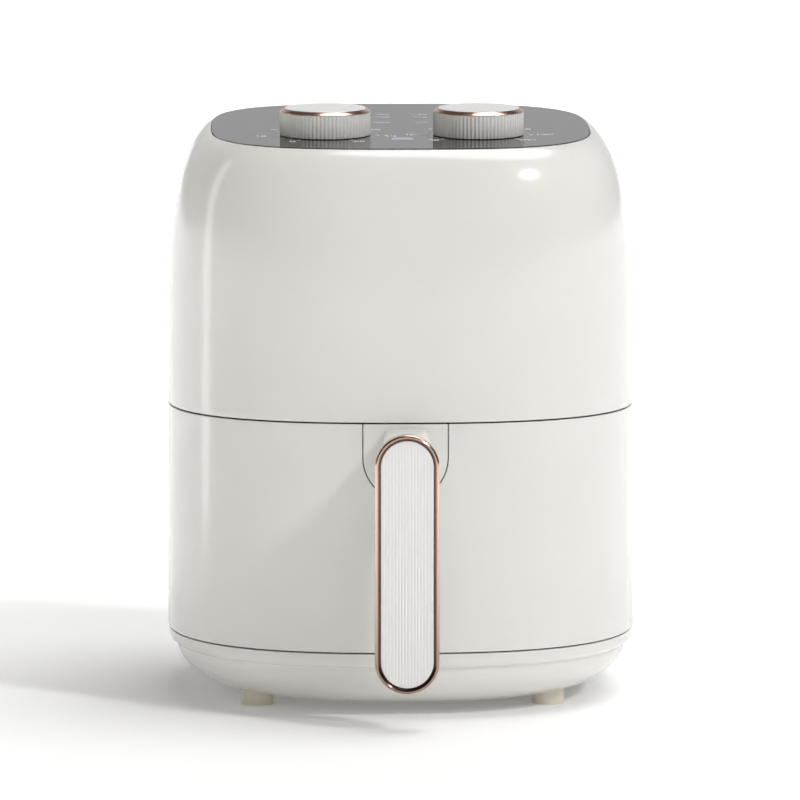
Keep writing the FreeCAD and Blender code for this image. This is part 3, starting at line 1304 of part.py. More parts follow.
def build_interlock():
    """The door switch behind the bay liner, and its plunger."""
    level = S.pan_rim + S.pan_wall / 2
    liner_back = S.body_depth / 2 - S.shell_wall - S.bay_inset
    case = Part.makeBox(20, 9.5, 11, vec(-10, liner_back - 1.5, level - 6))
    case = case.cut(plan_prism(S.shell_wall + S.bay_inset, TRAY_TOP, CEILING_LOW)).common(lower_void)
    tip = liner_back - S.bay_wall - 1.1
    bore = Part.makeCylinder(S.plunger_radius + S.bush_fit, 10, vec(0, tip, level), vec(0, 1, 0))
    node(feature("switch_form", case.cut(bore)), "interlock_switch")
    plunger = Part.makeCylinder(S.plunger_radius, S.plunger_length, vec(0, tip, level), vec(0, 1, 0))
    node(feature("plunger_form", plunger), "interlock_plunger")


# ---------------------------------------------------------------- build, check and write

build_upper_shell()
build_rear_shell()
build_base_tray()
build_feet()
build_bay_floor()
build_base_screws()
build_bay_liner()
build_slide_rails()
build_bay_ceiling()
build_chassis_deck()
build_deck_screws()
build_inner_liner()
build_heat_shield()
build_chamber_gasket()
build_heating_element()
build_element_guard()
build_air_duct()
build_vent_cover()
build_cord_gland()
build_motor_brackets()
build_motor_bushes()
build_motor_stator()
build_motor_coil()
build_motor_rotor()
build_motor_shaft()
build_fans()
build_impeller_nut()
build_control_panel()
build_panel_frame()
build_indicator()
build_units()
build_knob("timer", -1)
build_knob("temperature", 1)
build_drawer_front()
build_reinforcement()
build_handle()
build_handle_screws()
build_pan()
build_drawer_frame()
build_crisper_plate()
build_plate_bumpers()
build_interlock()
doc.recompute()

for item in doc.Objects:
    if {"Invalid", "Error"} & set(item.State):
        raise RuntimeError(f"{item.Label} did not rebuild: {item.State}")
labels = [item.Label for item in NODES]
if len(set(labels)) != len(labels):
    raise RuntimeError("two sub-parts share a name")
for item in NODES:
    if item.Shape.isNull() or not item.Shape.isValid() or not item.Shape.Solids:
        raise RuntimeError(f"{item.Label} has no sound shape")

os.makedirs("parts", exist_ok=True)
for item in NODES:
    item.Shape.exportStep(f"parts/{item.Label}.step")
    print(item.Label, len(item.Shape.Solids), round(item.Shape.Volume / 1000, 2))
print(len(NODES), "sub-parts")
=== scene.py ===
import json
import math

import bmesh
import bpy
import numpy as np
from bpy.props import FloatProperty, FloatVectorProperty, IntProperty, PointerProperty
from mathutils import Matrix, Vector


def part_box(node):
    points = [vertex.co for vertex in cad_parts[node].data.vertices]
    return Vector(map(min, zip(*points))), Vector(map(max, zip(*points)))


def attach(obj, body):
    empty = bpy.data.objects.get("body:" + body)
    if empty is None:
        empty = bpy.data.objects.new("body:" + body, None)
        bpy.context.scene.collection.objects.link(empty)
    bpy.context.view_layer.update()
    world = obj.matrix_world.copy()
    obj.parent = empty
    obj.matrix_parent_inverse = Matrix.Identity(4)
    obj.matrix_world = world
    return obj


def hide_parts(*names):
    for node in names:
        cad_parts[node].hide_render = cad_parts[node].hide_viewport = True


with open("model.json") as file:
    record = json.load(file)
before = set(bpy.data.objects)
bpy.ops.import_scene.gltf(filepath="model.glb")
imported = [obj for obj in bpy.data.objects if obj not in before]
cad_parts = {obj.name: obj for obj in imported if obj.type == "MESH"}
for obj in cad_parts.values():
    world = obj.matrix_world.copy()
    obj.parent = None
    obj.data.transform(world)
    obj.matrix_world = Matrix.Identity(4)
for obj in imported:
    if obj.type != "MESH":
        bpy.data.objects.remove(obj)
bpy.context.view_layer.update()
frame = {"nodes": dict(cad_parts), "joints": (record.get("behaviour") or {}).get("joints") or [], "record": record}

bl_info = {
    "name": "Air fryer looks",
    "version": (1, 0, 0),
    "blender": (4, 5, 0),
    "location": "3D View > Sidebar > Air fryer",
    "description": "Mouldings, controls, handle and finishes round the air fryer's frame",
    "category": "Object",
}

# Lengths are metres, +Z up, the drawer pulls out along -Y. Levels are heights above the floor.
MM = 0.001
SHELL_LOW, SHELL_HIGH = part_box("upper_shell")
MIDDLE_Y = (SHELL_LOW.y + SHELL_HIGH.y) / 2
JOINTS = {joint["name"]: joint for joint in frame["joints"]}
FRONT_LOW, FRONT_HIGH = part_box("drawer_front")
TRAY_LOW, TRAY_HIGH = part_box("base_tray")
RING_LOW, RING_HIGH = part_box("handle_trim_ring")
VENT_LOW, VENT_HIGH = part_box("rear_vent_cover")


# ---------------------------------------------------------------- sizes and colours

def length(name, default, description):
    """A length property in metres."""
    return FloatProperty(name=name, default=default, description=description, unit="LENGTH",
                         subtype="DISTANCE", precision=5)


def number(name, default, description):
    """A plain number property."""
    return FloatProperty(name=name, default=default, description=description)


def colour(name, default, description):
    """A linear RGB colour property."""
    return FloatVectorProperty(name=name, default=default, description=description, subtype="COLOR",
                               size=3, min=0.0, max=1.0)


class FryerBodySizes(bpy.types.PropertyGroup):
    """The rounded-square body, its dome and its seams."""
    width: length("Width", 260.2 * MM, "Width of the body at its fullest level")
    depth: length("Depth", 264.2 * MM, "Depth of the body at its fullest level")
    plan_power: number("Plan power", 2.5, "Exponent of the rounded-square plan")
    side_bulge: length("Side bulge", 1.3 * MM, "How much the side falls in up to the shoulder")
    full_level: length("Fullest level", 70 * MM, "Level where the body is fullest")
    shoulder_level: length("Shoulder level", 208 * MM, "Level where the dome starts")
    wall: length("Wall", 2.4 * MM, "Wall of the mouldings")
    edge: length("Edge rounding", 0.45 * MM, "Rounding of the mouldings' edges at the seams")
    split: length("Split", 10 * MM, "Where the drawer front ends, behind the middle")
    seam: length("Seam", 0.8 * MM, "Gap between two mouldings")
    panel_level: length("Panel level", 313.5 * MM, "Level of the panel's middle")
    panel_tilt: FloatProperty(name="Panel tilt", default=math.radians(3.25), subtype="ANGLE",
                              description="Forward slope of the panel")
    panel_power: number("Panel power", 3.2, "Exponent of the panel's plan")
    panel_setback: length("Panel setback", 2.5 * MM, "How far the panel lies behind the middle")
    panel_thickness: length("Panel thickness", 2.5 * MM, "Depth of the panel's seat")
    panel_stand: length("Panel stand", 0.5 * MM, "How far the panel stands above the dome's rim")
    panel_lip: length("Panel lip", 0.12 * MM, "Rim of the dome left round the panel")
    dome_fraction: number("Dome fraction", 0.968, "Share of the dome's full curve that is used")
    dome_inset: length("Dome inset", 38.5 * MM, "Sideways reach of the dome's full curve")
    dome_inset_depth: length("Dome inset depth", 34 * MM, "Front to back reach of the dome's curve")
    dome_power: number("Dome power", 2.65, "Exponent of the dome's curve")
    gland_hole: length("Gland hole", 7.5 * MM, "Radius of the cord gland's hole")
    vent_lap: length("Vent lap", 4 * MM, "How far the vent cover laps its opening")
    patch_reach: length("Patch reach", 60 * MM, "Half width of the front's middle patch")
    columns: IntProperty(name="Columns", default=320, description="Points round a body section")


class FryerTraySizes(bpy.types.PropertyGroup):
    """The bowl under the drawer."""
    band: length("Band", 7.2 * MM, "Height of the band under the seam")
    band_start: length("Band start", 0.3 * MM, "How far the band's top lies in from the wall")
    band_lean: length("Band lean", 0.5 * MM, "How far the band leans in over its height")
    band_curl: length("Band curl", 2 * MM, "How far the band's lower edge curls in")
    lip_inset: length("Lip inset", 0.7 * MM, "How far the rounded top edge lies in")
    lip_middle: length("Lip middle", 0.38 * MM, "Inset in the middle of the top edge's rounding")
    lip_drop: length("Lip drop", 0.15 * MM, "Drop to the middle of the top edge's rounding")
    step: length("Step", 1.8 * MM, "Step in from the band to the bowl")
    ledge: length("Ledge", 0.8 * MM, "Height of the step")
    inset: length("Inset", 40 * MM, "How far the bowl curves in under the body")
    power: number("Power", 1.93, "Exponent of the bowl's curve")
    screw_side: length("Screw side", 60 * MM, "Sideways distance of a base screw")
    screw_depth: length("Screw depth", 55 * MM, "Front to back distance of a base screw")
    screw_hole: length("Screw hole", 2.0 * MM, "Radius of a screw hole")
    screw_sink: length("Screw sink", 3.6 * MM, "Radius of a screw head's sink")
    sink_depth: length("Sink depth", 1.6 * MM, "Depth of a screw head's sink")


class FryerKnobSizes(bpy.types.PropertyGroup):
    """The two fluted controls."""
    radius: length("Radius", 24.9 * MM, "Radius of a knob")
    gap: length("Gap", 0.3 * MM, "Gap between the panel and a knob")
    wall: length("Wall", 12.7 * MM, "Height of the fluted wall")
    flutes: IntProperty(name="Flutes", default=72, description="Flutes round a knob")
    flute_depth: length("Flute depth", 0.55 * MM, "Depth of a flute")
    ring_height: length("Ring height", 2.2 * MM, "Height of the bright ring")
    ring_top: length("Ring top", 22.4 * MM, "Radius of the bright ring at its top")
    cap_radius: length("Cap radius", 21.5 * MM, "Radius of the cap")


class FryerHandleSizes(bpy.types.PropertyGroup):
    """The upright bar handle and the plate let in behind it."""
    ring_width: length("Ring width", 3.1 * MM, "Width of the bright ring")
    ring_height: length("Ring height", 3.5 * MM, "Height of the bright ring")
    back_round: length("Back rounding", 4.5 * MM, "Rounding of the grip's back edge")
    grip: length("Grip", 10 * MM, "Thickness of the grip behind its ring")
    insert: length("Insert", 2.7 * MM, "Thickness of the ribbed insert")
    rib_pitch: length("Rib pitch", 1.7 * MM, "Distance between the insert's grooves")
    rib_depth: length("Rib depth", 0.16 * MM, "Depth of the insert's grooves")
    neck_width: length("Neck width", 24.5 * MM, "Width of the neck at the drawer")
    neck_height: length("Neck height", 30 * MM, "Height of the neck")
    plate_width: length("Plate width", 45.4 * MM, "Width of the plate let into the drawer")
    plate_straight: length("Plate straight", 18.2 * MM, "Straight height above its round end")
    plate_gap: length("Plate gap", 0.5 * MM, "Gap round the plate")


class FryerVentSizes(bpy.types.PropertyGroup):
    """The slatted cover at the back."""
    corner: length("Corner", 6 * MM, "Radius of the cover's corners")
    slot: length("Slot", 3.4 * MM, "Height of a slot")
    slots: IntProperty(name="Slots", default=6, description="Slots in the cover")
    margin: length("Margin", 8 * MM, "Margin above and below the slots")
    side: length("Side", 14 * MM, "Margin beside the slots")


class FryerMarkSizes(bpy.types.PropertyGroup):
    """What is printed on the panel."""
    dial_side: length("Dial side", 42.1 * MM, "Sideways distance of a dial's middle")
    dial_front: length("Dial front", 42.5 * MM, "How far a dial's middle lies in front of the panel's")
    tick_radius: length("Tick radius", 28.2 * MM, "Distance of a small tick from its dial's middle")
    main_radius: length("Main radius", 28.6 * MM, "Distance of a numbered tick from its dial's middle")
    number_radius: length("Number radius", 36 * MM, "Distance of a number from its dial's middle")
    number_size: length("Number size", 6.6 * MM, "Height of the type")
    number_weight: length("Number weight", 0.22 * MM, "How far the type's strokes are thickened")
    lift: length("Lift", 0.06 * MM, "Height of the print's face over the panel")
    ink: length("Ink", 0.05 * MM, "Thickness of the print")


class FryerColours(bpy.types.PropertyGroup):
    """The colours of the visible finishes, linear."""
    shell: colour("Shell", (0.825, 0.815, 0.775), "Glossy cream mouldings")
    matte: colour("Matte", (0.88, 0.87, 0.83), "Fluted walls of the knobs")
    cap: colour("Caps", (0.90, 0.89, 0.87), "Knob caps and ribbed insert")
    panel: colour("Panel", (0.012, 0.012, 0.013), "Glossy top panel")
    rose: colour("Rose gold", (0.70, 0.47, 0.39), "Bright rings")
    foot: colour("Feet", (0.8, 0.74, 0.62), "Soft feet")
    marks: colour("Marks", (0.9, 0.9, 0.92), "Printed marks on the panel")
    floor: colour("Floor", (0.93, 0.93, 0.93), "Floor")


class FryerStageSizes(bpy.types.PropertyGroup):
    """Floor, camera and lights."""
    floor_radius: length("Floor radius", 40.0, "Radius of the floor")
    aim_level: length("Aim level", 160 * MM, "Level that the camera looks at")
    distance: length("Distance", 3.135, "Distance from the camera to the aim")
    pitch: FloatProperty(name="Pitch", default=math.radians(6.1), subtype="ANGLE",
                         description="How far the camera looks down")
    yaw: FloatProperty(name="Yaw", default=math.radians(1.3), subtype="ANGLE",
                       description="How far the camera stands to the left")
    lens: FloatProperty(name="Lens", default=252.0, description="Focal length in millimetres",
                        unit="CAMERA")
    room: number("Room light", 0.585, "Strength of the room")
    # the floor's own light is weaker by the fryer, a painted shade round it
    glow: number("Floor glow", 0.42, "Own light of the floor away from the fryer")
    near_glow: number("Near glow", 0.10, "Own light of the floor by the fryer")
    near: length("Near", 0.2, "Distance from the middle where the floor starts to glow more")
    far: length("Far", 0.75, "Distance from the middle where the floor glows fully")
    key: number("Key light", 0.95, "Strength of the main light")
    key_turn: FloatProperty(name="Key turn", default=math.radians(52), subtype="ANGLE",
                            description="How far the main light stands to the right")
    key_rise: FloatProperty(name="Key rise", default=math.radians(40), subtype="ANGLE",
                            description="How high the main light stands")
    key_size: FloatProperty(name="Key size", default=math.radians(6.5), subtype="ANGLE",
                            description="Apparent size of the main light")
    strip: number("Strip light", 0.7, "Power of the strip at the left")
    strip_width: length("Strip width", 0.13, "Width of the strip")
    strip_height: length("Strip height", 0.84, "Height of the strip, which stands on the floor")


# ---------------------------------------------------------------- mesh building

def new_mesh(name, points, faces):
    """A mesh from an array of points and a list of face index arrays."""
    mesh = bpy.data.meshes.new(name)
    mesh.from_pydata(points.reshape(-1, 3).tolist(), [], [f for part in faces for f in part.tolist()])
    return mesh


def grid_faces(rows, columns, close_rows=False, close_columns=False, start=0):
    """Quads of a grid whose points are numbered row by row, turning left round each cell."""
    index = np.arange(rows * columns).reshape(rows, columns) + start
    if close_rows:
        index = np.vstack([index, index[:1]])
    if close_columns:
        index = np.hstack([index, index[:, :1]])
    return np.stack([index[:-1, :-1], index[:-1, 1:], index[1:, 1:], index[1:, :-1]], -1).reshape(-1, 4)


def tidy(mesh, merge=1e-6):
    """Closes seams and poles by merging points that coincide, and turns every face outwards."""
    work = bmesh.new()
    work.from_mesh(mesh)
    bmesh.ops.remove_doubles(work, verts=work.verts, dist=merge)
    bmesh.ops.dissolve_degenerate(work, edges=work.edges, dist=merge)
    bmesh.ops.recalc_face_normals(work, faces=work.faces)
    work.to_mesh(mesh)
    work.free()
    mesh.update()
    return mesh


def piece(name, mesh, body, material, stands_for=(), sharp=None):
    """A finished piece at the origin that rides on a body and stands for CAD nodes."""
    obj = bpy.data.objects.new(name, mesh)
    bpy.context.scene.collection.objects.link(obj)
    mesh.shade_smooth()
    if sharp:
        mesh.set_sharp_from_angle(angle=math.radians(sharp))
    mesh.materials.append(material)
    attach(obj, body)
    if stands_for:
        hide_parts(*stands_for)
    return obj


def carve(obj, cutter_mesh):
    """Cuts a closed mesh out of a piece for good."""
    cutter = bpy.data.objects.new("cutter", cutter_mesh)
    bpy.context.scene.collection.objects.link(cutter)
    change = obj.modifiers.new("cut", "BOOLEAN")
    change.operation, change.object, change.solver = "DIFFERENCE", cutter, "EXACT"
    bpy.context.view_layer.update()
    found = obj.evaluated_get(bpy.context.evaluated_depsgraph_get())
    mesh = bpy.data.meshes.new_from_object(found)
    obj.modifiers.clear()
    old, obj.data = obj.data, mesh
    bpy.data.meshes.remove(old)
    bpy.data.objects.remove(cutter)
    bpy.data.meshes.remove(cutter_mesh)


def round_edges(obj, width, segments=3, angle=40):
    """Live bevel and weighted normals, so that an edge catches the light."""
    bevel = obj.modifiers.new("edges", "BEVEL")
    bevel.width, bevel.segments = width, segments
    bevel.limit_method, bevel.angle_limit = "ANGLE", math.radians(angle)
    normals = obj.modifiers.new("normals", "WEIGHTED_NORMAL")
    normals.keep_sharp = True


def arc(start, end, count):
    """Angles from start to end in degrees, given in radians."""
    return np.radians(np.linspace(start, end, count))


def turned(profile, columns, wave=None):
    """A closed surface of revolution: each profile point (radius, height) is carried round Z.

    With a wave, a point's radius loses wave(turn) times its third number."""
    turns = np.linspace(0, 2 * np.pi, columns, endpoint=False)
    profile = np.array(profile, float)
    radius = profile[:, :1] * np.ones(columns)
    if wave is not None:
        radius = radius - profile[:, 2:3] * wave(turns)
    return np.stack([radius * np.cos(turns), radius * np.sin(turns), profile[:, 1:2] * np.ones(columns)], -1)


def rounded(corners, radius, steps=4):
    """A closed outline's corners replaced by arcs: each corner is cut back by radius along both
    sides and the two cuts are joined by a quadratic curve that has the corner as its handle."""
    corners = np.array(corners, float)
    before, after = np.roll(corners, 1, 0), np.roll(corners, -1, 0)
    t = np.linspace(0, 1, steps + 1)[:, None]
    outline = []
    for previous, corner, following in zip(before, corners, after):
        back, ahead = previous - corner, following - corner
        reach = min(radius, 0.45 * np.linalg.norm(back), 0.45 * np.linalg.norm(ahead))
        a = corner + back / np.linalg.norm(back) * reach
        b = corner + ahead / np.linalg.norm(ahead) * reach
        outline.append(a * (1 - t) ** 2 + corner * 2 * t * (1 - t) + b * t ** 2)
    return np.vstack(outline)


# ---------------------------------------------------------------- the body's form

def side_half(body, half, level):
    """Half size of the barrel-shaped wall: it falls in with the square of the height from the
    fullest level."""
    fall = (level - body.full_level) / (body.shoulder_level - body.full_level)
    return half - body.side_bulge * fall ** 2


def plan(half_x, half_y, power, turns):
    """Rounded square: the reach r at a turn makes |r cos / a|^n + |r sin / b|^n = 1."""
    c, s = np.cos(turns), np.sin(turns)
    reach = (np.abs(c / half_x) ** power + np.abs(s / half_y) ** power) ** (-1 / power)
    return reach * c, reach * s


def wall_rows(body, levels, insets, turns):
    """Sections of the straight wall at levels, each moved in by its inset."""
    levels, insets = np.broadcast_arrays(np.array(levels, float), np.array(insets, float))
    level = levels[:, None]
    x, y = plan(side_half(body, body.width / 2, level) - insets[:, None],
                side_half(body, body.depth / 2, level) - insets[:, None], body.plan_power, turns)
    return np.stack([x, y + MIDDLE_Y, level + 0 * x], -1)


def dome_rows(body, rises, inset, turns):
    """Sections of the dome: at a share of its height the plan is drawn in along a superellipse
    quarter, squarer and more tilted towards the panel."""
    rise = np.array(rises, float)[:, None]
    share = rise / body.dome_fraction
    drawn_in = 1 - (1 - rise ** body.dome_power) ** (1 / body.dome_power)
    full = (body.panel_level - body.shoulder_level) / body.dome_fraction
    half_x = side_half(body, body.width / 2, body.shoulder_level) - body.dome_inset * drawn_in - inset
    half_y = side_half(body, body.depth / 2, body.shoulder_level) - body.dome_inset_depth * drawn_in - inset
    power = body.plan_power + (body.panel_power - body.plan_power) * share ** 2
    x, y = plan(half_x, half_y, power, turns)
    y = y + body.panel_setback * share ** 2
    z = body.shoulder_level + (full - inset) * rise + y * np.tan(body.panel_tilt * share)
    z = z - body.panel_stand * share ** 40
    return np.stack([x, y + MIDDLE_Y, z], -1)


def rim_row(body, inset, lift, turns):
    """The panel rim's section, moved in by an inset and up by a lift."""
    row = dome_rows(body, [body.dome_fraction], inset, turns)
    row[..., 2] += lift + inset * body.dome_fraction
    return row


def front_depth(body, x, z):
    """Depth of the front wall at x and z, in front of the middle, from the same rounded square."""
    a = side_half(body, body.width / 2, z)
    b = side_half(body, body.depth / 2, z)
    return -b * (1 - np.abs(x / a) ** body.plan_power) ** (1 / body.plan_power)


def front_points(body, x, z):
    return np.stack([x, front_depth(body, x, z) + MIDDLE_Y, z], -1)


def even_turns(body, count):
    """Turns that put a section's points at even distances round it."""
    fine = np.linspace(0, 2 * np.pi, 4001)
    x, y = plan(body.width / 2, body.depth / 2, body.plan_power, fine)
    run = np.concatenate([[0], np.cumsum(np.hypot(np.diff(x), np.diff(y)))])
    return np.interp(np.linspace(0, run[-1], count, endpoint=False), run, fine)


# ---------------------------------------------------------------- materials

def nodes_of(name):
    """A material with an empty tree but for its shader and output."""
    material = bpy.data.materials.new(name + "_finish")
    material.use_nodes = True
    tree = material.node_tree
    return material, tree, tree.nodes["Principled BSDF"]


def add(tree, kind, **values):
    """A node with its sockets set by name, and settings that aren't sockets set as attributes."""
    item = tree.nodes.new("ShaderNode" + kind)
    for key, value in values.items():
        name = key.replace("_", " ")
        if name in item.inputs:
            item.inputs[name].default_value = value
        else:
            setattr(item, key, value)
    return item


def noise(tree, scale, detail=3.0, roughness=0.5, stretch=None):
    """Noise in object coordinates, optionally stretched along an axis."""
    place = add(tree, "TexCoord").outputs["Object"]
    if stretch:
        mapping = add(tree, "Mapping")
        mapping.inputs["Scale"].default_value = stretch
        tree.links.new(place, mapping.inputs["Vector"])
        place = mapping.outputs["Vector"]
    texture = add(tree, "TexNoise", Scale=scale, Detail=detail, Roughness=roughness)
    tree.links.new(place, texture.inputs["Vector"])
    return texture.outputs["Fac"]


def shade(rgb, share):
    return tuple(min(1.0, c * share) for c in rgb) + (1.0,)


def colour_span(tree, source, target, low, high, start=0.3, end=0.7):
    """A colour that runs from low to high with a texture's value."""
    ramp = tree.nodes.new("ShaderNodeValToRGB")
    ramp.color_ramp.elements[0].position, ramp.color_ramp.elements[0].color = start, low
    ramp.color_ramp.elements[1].position, ramp.color_ramp.elements[1].color = end, high
    tree.links.new(source, ramp.inputs["Fac"])
    tree.links.new(ramp.outputs["Color"], target)
    return ramp


def value_span(tree, source, target, low, high):
    """A number that runs from low to high with a texture's value."""
    span = add(tree, "MapRange")
    span.inputs["To Min"].default_value, span.inputs["To Max"].default_value = low, high
    tree.links.new(source, span.inputs["Value"])
    tree.links.new(span.outputs["Result"], target)


def relief(tree, source, shader, depth, strength=1.0):
    """Fine relief of a given depth in metres."""
    bump = add(tree, "Bump", Strength=strength, Distance=depth)
    tree.links.new(source, bump.inputs["Height"])
    tree.links.new(bump.outputs["Normal"], shader.inputs["Normal"])


def plastic(name, rgb, rough, spread=0.04, grain=1500.0, depth=0.00002, coat=0.0, vary=0.02):
    """Moulded plastic: faint clouding of the colour, uneven gloss and a fine skin."""
    material, tree, shader = nodes_of(name)
    colour_span(tree, noise(tree, 14.0), shader.inputs["Base Color"],
                shade(rgb, 1 - vary), shade(rgb, 1 + vary))
    value_span(tree, noise(tree, 60.0), shader.inputs["Roughness"], rough - spread, rough + spread)
    relief(tree, noise(tree, grain, 2.0), shader, depth)
    shader.inputs["IOR"].default_value = 1.5
    if coat:
        shader.inputs["Coat Weight"].default_value = coat
        shader.inputs["Coat Roughness"].default_value = 0.08
    return material


def metal(name, rgb, rough, spread=0.06, scale=900.0, stretch=(1, 1, 1), depth=0.00001, dark=0.9):
    """Bare metal with a directional finish."""
    material, tree, shader = nodes_of(name)
    source = noise(tree, scale, 4.0, 0.6, stretch)
    colour_span(tree, source, shader.inputs["Base Color"], shade(rgb, dark), shade(rgb, 1.04))
    value_span(tree, source, shader.inputs["Roughness"], rough - spread, rough + spread)
    relief(tree, source, shader, depth)
    shader.inputs["Metallic"].default_value = 1.0
    return material


def shell_gloss(colours):
    """Glossy cream plastic with a faint moulding skin."""
    return plastic("shell_gloss", colours.shell, 0.17, 0.02, 420.0, 0.000006, coat=0.15, vary=0.012)


def cream_matte(colours):
    """Satin cream plastic of the knobs' fluted walls."""
    return plastic("cream_matte", colours.matte, 0.42, 0.05, 2600.0, 0.00003, vary=0.015)


def cap_satin(colours):
    """Paler satin plastic of the knob caps and the ribbed insert."""
    return plastic("cap_satin", colours.cap, 0.36, 0.05, 2600.0, 0.00002, vary=0.012)


def panel_gloss(colours):
    """Dark panel under a clear polished face, with faint smudges in its gloss."""
    material, tree, shader = nodes_of("panel_gloss")
    colour_span(tree, noise(tree, 30.0), shader.inputs["Base Color"], shade(colours.panel, 0.85),
                shade(colours.panel, 1.2))
    value_span(tree, noise(tree, 22.0, 5.0), shader.inputs["Roughness"], 0.0, 0.02)
    shader.inputs["IOR"].default_value = 1.45
    return material


def rose_gold(colours):
    """Plated rose-gold metal, finely brushed."""
    return metal("rose_gold", colours.rose, 0.16, 0.04, 700.0, (1, 1, 1), 0.000006, 0.94)


def rose_bevel(colours):
    """The same plating on a ring with painted light: a painted highlight on its bevel's outer part, painted shade
    on the inner part, and darker towards its foot.
    """
    material, tree, shader = nodes_of("rose_bevel")
    bevel = add(tree, "Attribute", attribute_name="bevel").outputs["Fac"]
    # painted highlight on the outer part of the bevel, painted shade on its inner part next to the insert
    inner = ramp_of(tree, bevel, (0.0, 1.0), [
        (0.0, (1.15, 1.25, 1.3)), (0.42, (1.05, 1.1, 1.12)), (0.58, (0.34, 0.31, 0.3)),
        (1.0, (0.22, 0.2, 0.2))])
    split = add(tree, "SeparateXYZ")
    tree.links.new(add(tree, "TexCoord").outputs["Object"], split.inputs["Vector"])
    # the whole ring darker towards its foot, and a little at its very top
    fall = ramp_of(tree, split.outputs["Z"], (RING_LOW.z, RING_HIGH.z), [
        (0.0, (0.42, 0.4, 0.4)), (0.25, (0.7, 0.69, 0.68)), (0.8, (1.0, 1.0, 1.0)),
        (1.0, (0.85, 0.83, 0.82))])
    clouds = tree.nodes.new("ShaderNodeValToRGB")
    clouds.color_ramp.elements[0].color = shade(colours.rose, 0.95)
    clouds.color_ramp.elements[1].color = shade(colours.rose, 1.04)
    tree.links.new(noise(tree, 500.0), clouds.inputs["Fac"])
    first = multiply(tree, clouds.outputs["Color"], inner)
    tree.links.new(multiply(tree, first, fall), shader.inputs["Base Color"])
    value_span(tree, noise(tree, 500.0), shader.inputs["Roughness"], 0.14, 0.22)
    shader.inputs["Metallic"].default_value = 1.0
    return material


def multiply(tree, one, other):
    """The product of two colours."""
    both = add(tree, "Mix", data_type="RGBA", blend_type="MULTIPLY")
    both.inputs["Factor"].default_value = 1.0
    tree.links.new(one, both.inputs[6])
    tree.links.new(other, both.inputs[7])
    return both.outputs[2]


def foot_silicone(colours):
    """Soft warm silicone."""
    material = plastic("foot_silicone", colours.foot, 0.5, 0.06, 1200.0, 0.00003)
    shader = material.node_tree.nodes["Principled BSDF"]
    shader.inputs["Subsurface Weight"].default_value = 0.15
    shader.inputs["Subsurface Radius"].default_value = (0.004, 0.003, 0.002)
    return material


def lens_milk(colours):
    """Milky lens over the lamps: brighter towards the back, dusky towards the front."""
    material, tree, shader = nodes_of("lens_milk")
    split = add(tree, "SeparateXYZ")
    tree.links.new(add(tree, "TexCoord").outputs["Object"], split.inputs["Vector"])
    low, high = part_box("indicator_lens")
    span = add(tree, "MapRange")
    span.inputs["From Min"].default_value, span.inputs["From Max"].default_value = low.y, high.y
    tree.links.new(split.outputs["Y"], span.inputs["Value"])
    colour_span(tree, span.outputs["Result"], shader.inputs["Base Color"], (0.01, 0.012, 0.02, 1.0),
                (0.46, 0.47, 0.62, 1.0), 0.3, 0.8)
    value_span(tree, noise(tree, 300.0), shader.inputs["Roughness"], 0.10, 0.2)
    return material


def dark_nylon(colours):
    """Dark filled nylon."""
    return plastic("dark_nylon", (0.02, 0.02, 0.021), 0.5, 0.08, 1800.0, 0.00004, vary=0.2)


def sheet_steel(colours):
    """Plain sheet steel."""
    return metal("sheet_steel", (0.56, 0.57, 0.58), 0.3, 0.08, 500.0, (1, 1, 14), 0.00001, 0.86)


def nonstick(colours):
    """Dark coated pan with fine pale specks."""
    material, tree, shader = nodes_of("nonstick")
    colour_span(tree, noise(tree, 2600.0, 1.0), shader.inputs["Base Color"], (0.018, 0.018, 0.019, 1),
                (0.10, 0.10, 0.10, 1), 0.66, 0.74)
    value_span(tree, noise(tree, 90.0), shader.inputs["Roughness"], 0.26, 0.4)
    relief(tree, noise(tree, 1400.0, 2.0), shader, 0.00003)
    return material


def element_steel(colours):
    """Heater tube with the brown and blue of heat."""
    material, tree, shader = nodes_of("element_steel")
    colour_span(tree, noise(tree, 35.0), shader.inputs["Base Color"],
                (0.16, 0.13, 0.11, 1), (0.3, 0.28, 0.29, 1))
    value_span(tree, noise(tree, 500.0), shader.inputs["Roughness"], 0.34, 0.55)
    shader.inputs["Metallic"].default_value = 0.9
    return material


def copper(colours):
    """Wound copper wire: fine turns round the stack."""
    return metal("copper", (0.72, 0.36, 0.2), 0.32, 0.08, 900.0, (1, 1, 6), 0.00003, 0.7)


def lamination(colours):
    """Stacked steel sheets: thin level stripes."""
    material, tree, shader = nodes_of("lamination")
    wave = add(tree, "TexWave", Scale=320.0, Distortion=0.2)
    wave.bands_direction = "Z"
    tree.links.new(add(tree, "TexCoord").outputs["Object"], wave.inputs["Vector"])
    colour_span(tree, wave.outputs["Fac"], shader.inputs["Base Color"],
                (0.12, 0.12, 0.125, 1), (0.34, 0.34, 0.35, 1))
    value_span(tree, noise(tree, 400.0), shader.inputs["Roughness"], 0.35, 0.55)
    shader.inputs["Metallic"].default_value = 0.85
    return material


def shaft_steel(colours):
    """Bright turned steel of the shafts."""
    return metal("shaft_steel", (0.62, 0.62, 0.63), 0.2, 0.05, 900.0, (1, 1, 10), 0.000004, 0.9)


def zinc(colours):
    """Galvanised plate: crystal patches of slightly different grey."""
    material, tree, shader = nodes_of("zinc")
    cells = add(tree, "TexVoronoi", Scale=170.0)
    tree.links.new(add(tree, "TexCoord").outputs["Object"], cells.inputs["Vector"])
    colour_span(tree, cells.outputs["Distance"], shader.inputs["Base Color"], (0.42, 0.43, 0.45, 1),
                (0.56, 0.57, 0.58, 1), 0.1, 0.8)
    value_span(tree, cells.outputs["Distance"], shader.inputs["Roughness"], 0.3, 0.48)
    shader.inputs["Metallic"].default_value = 1.0
    return material


def bronze(colours):
    """Sintered bronze of the bushes."""
    return metal("bronze", (0.5, 0.34, 0.17), 0.34, 0.08, 1500.0, (1, 1, 1), 0.00002, 0.8)


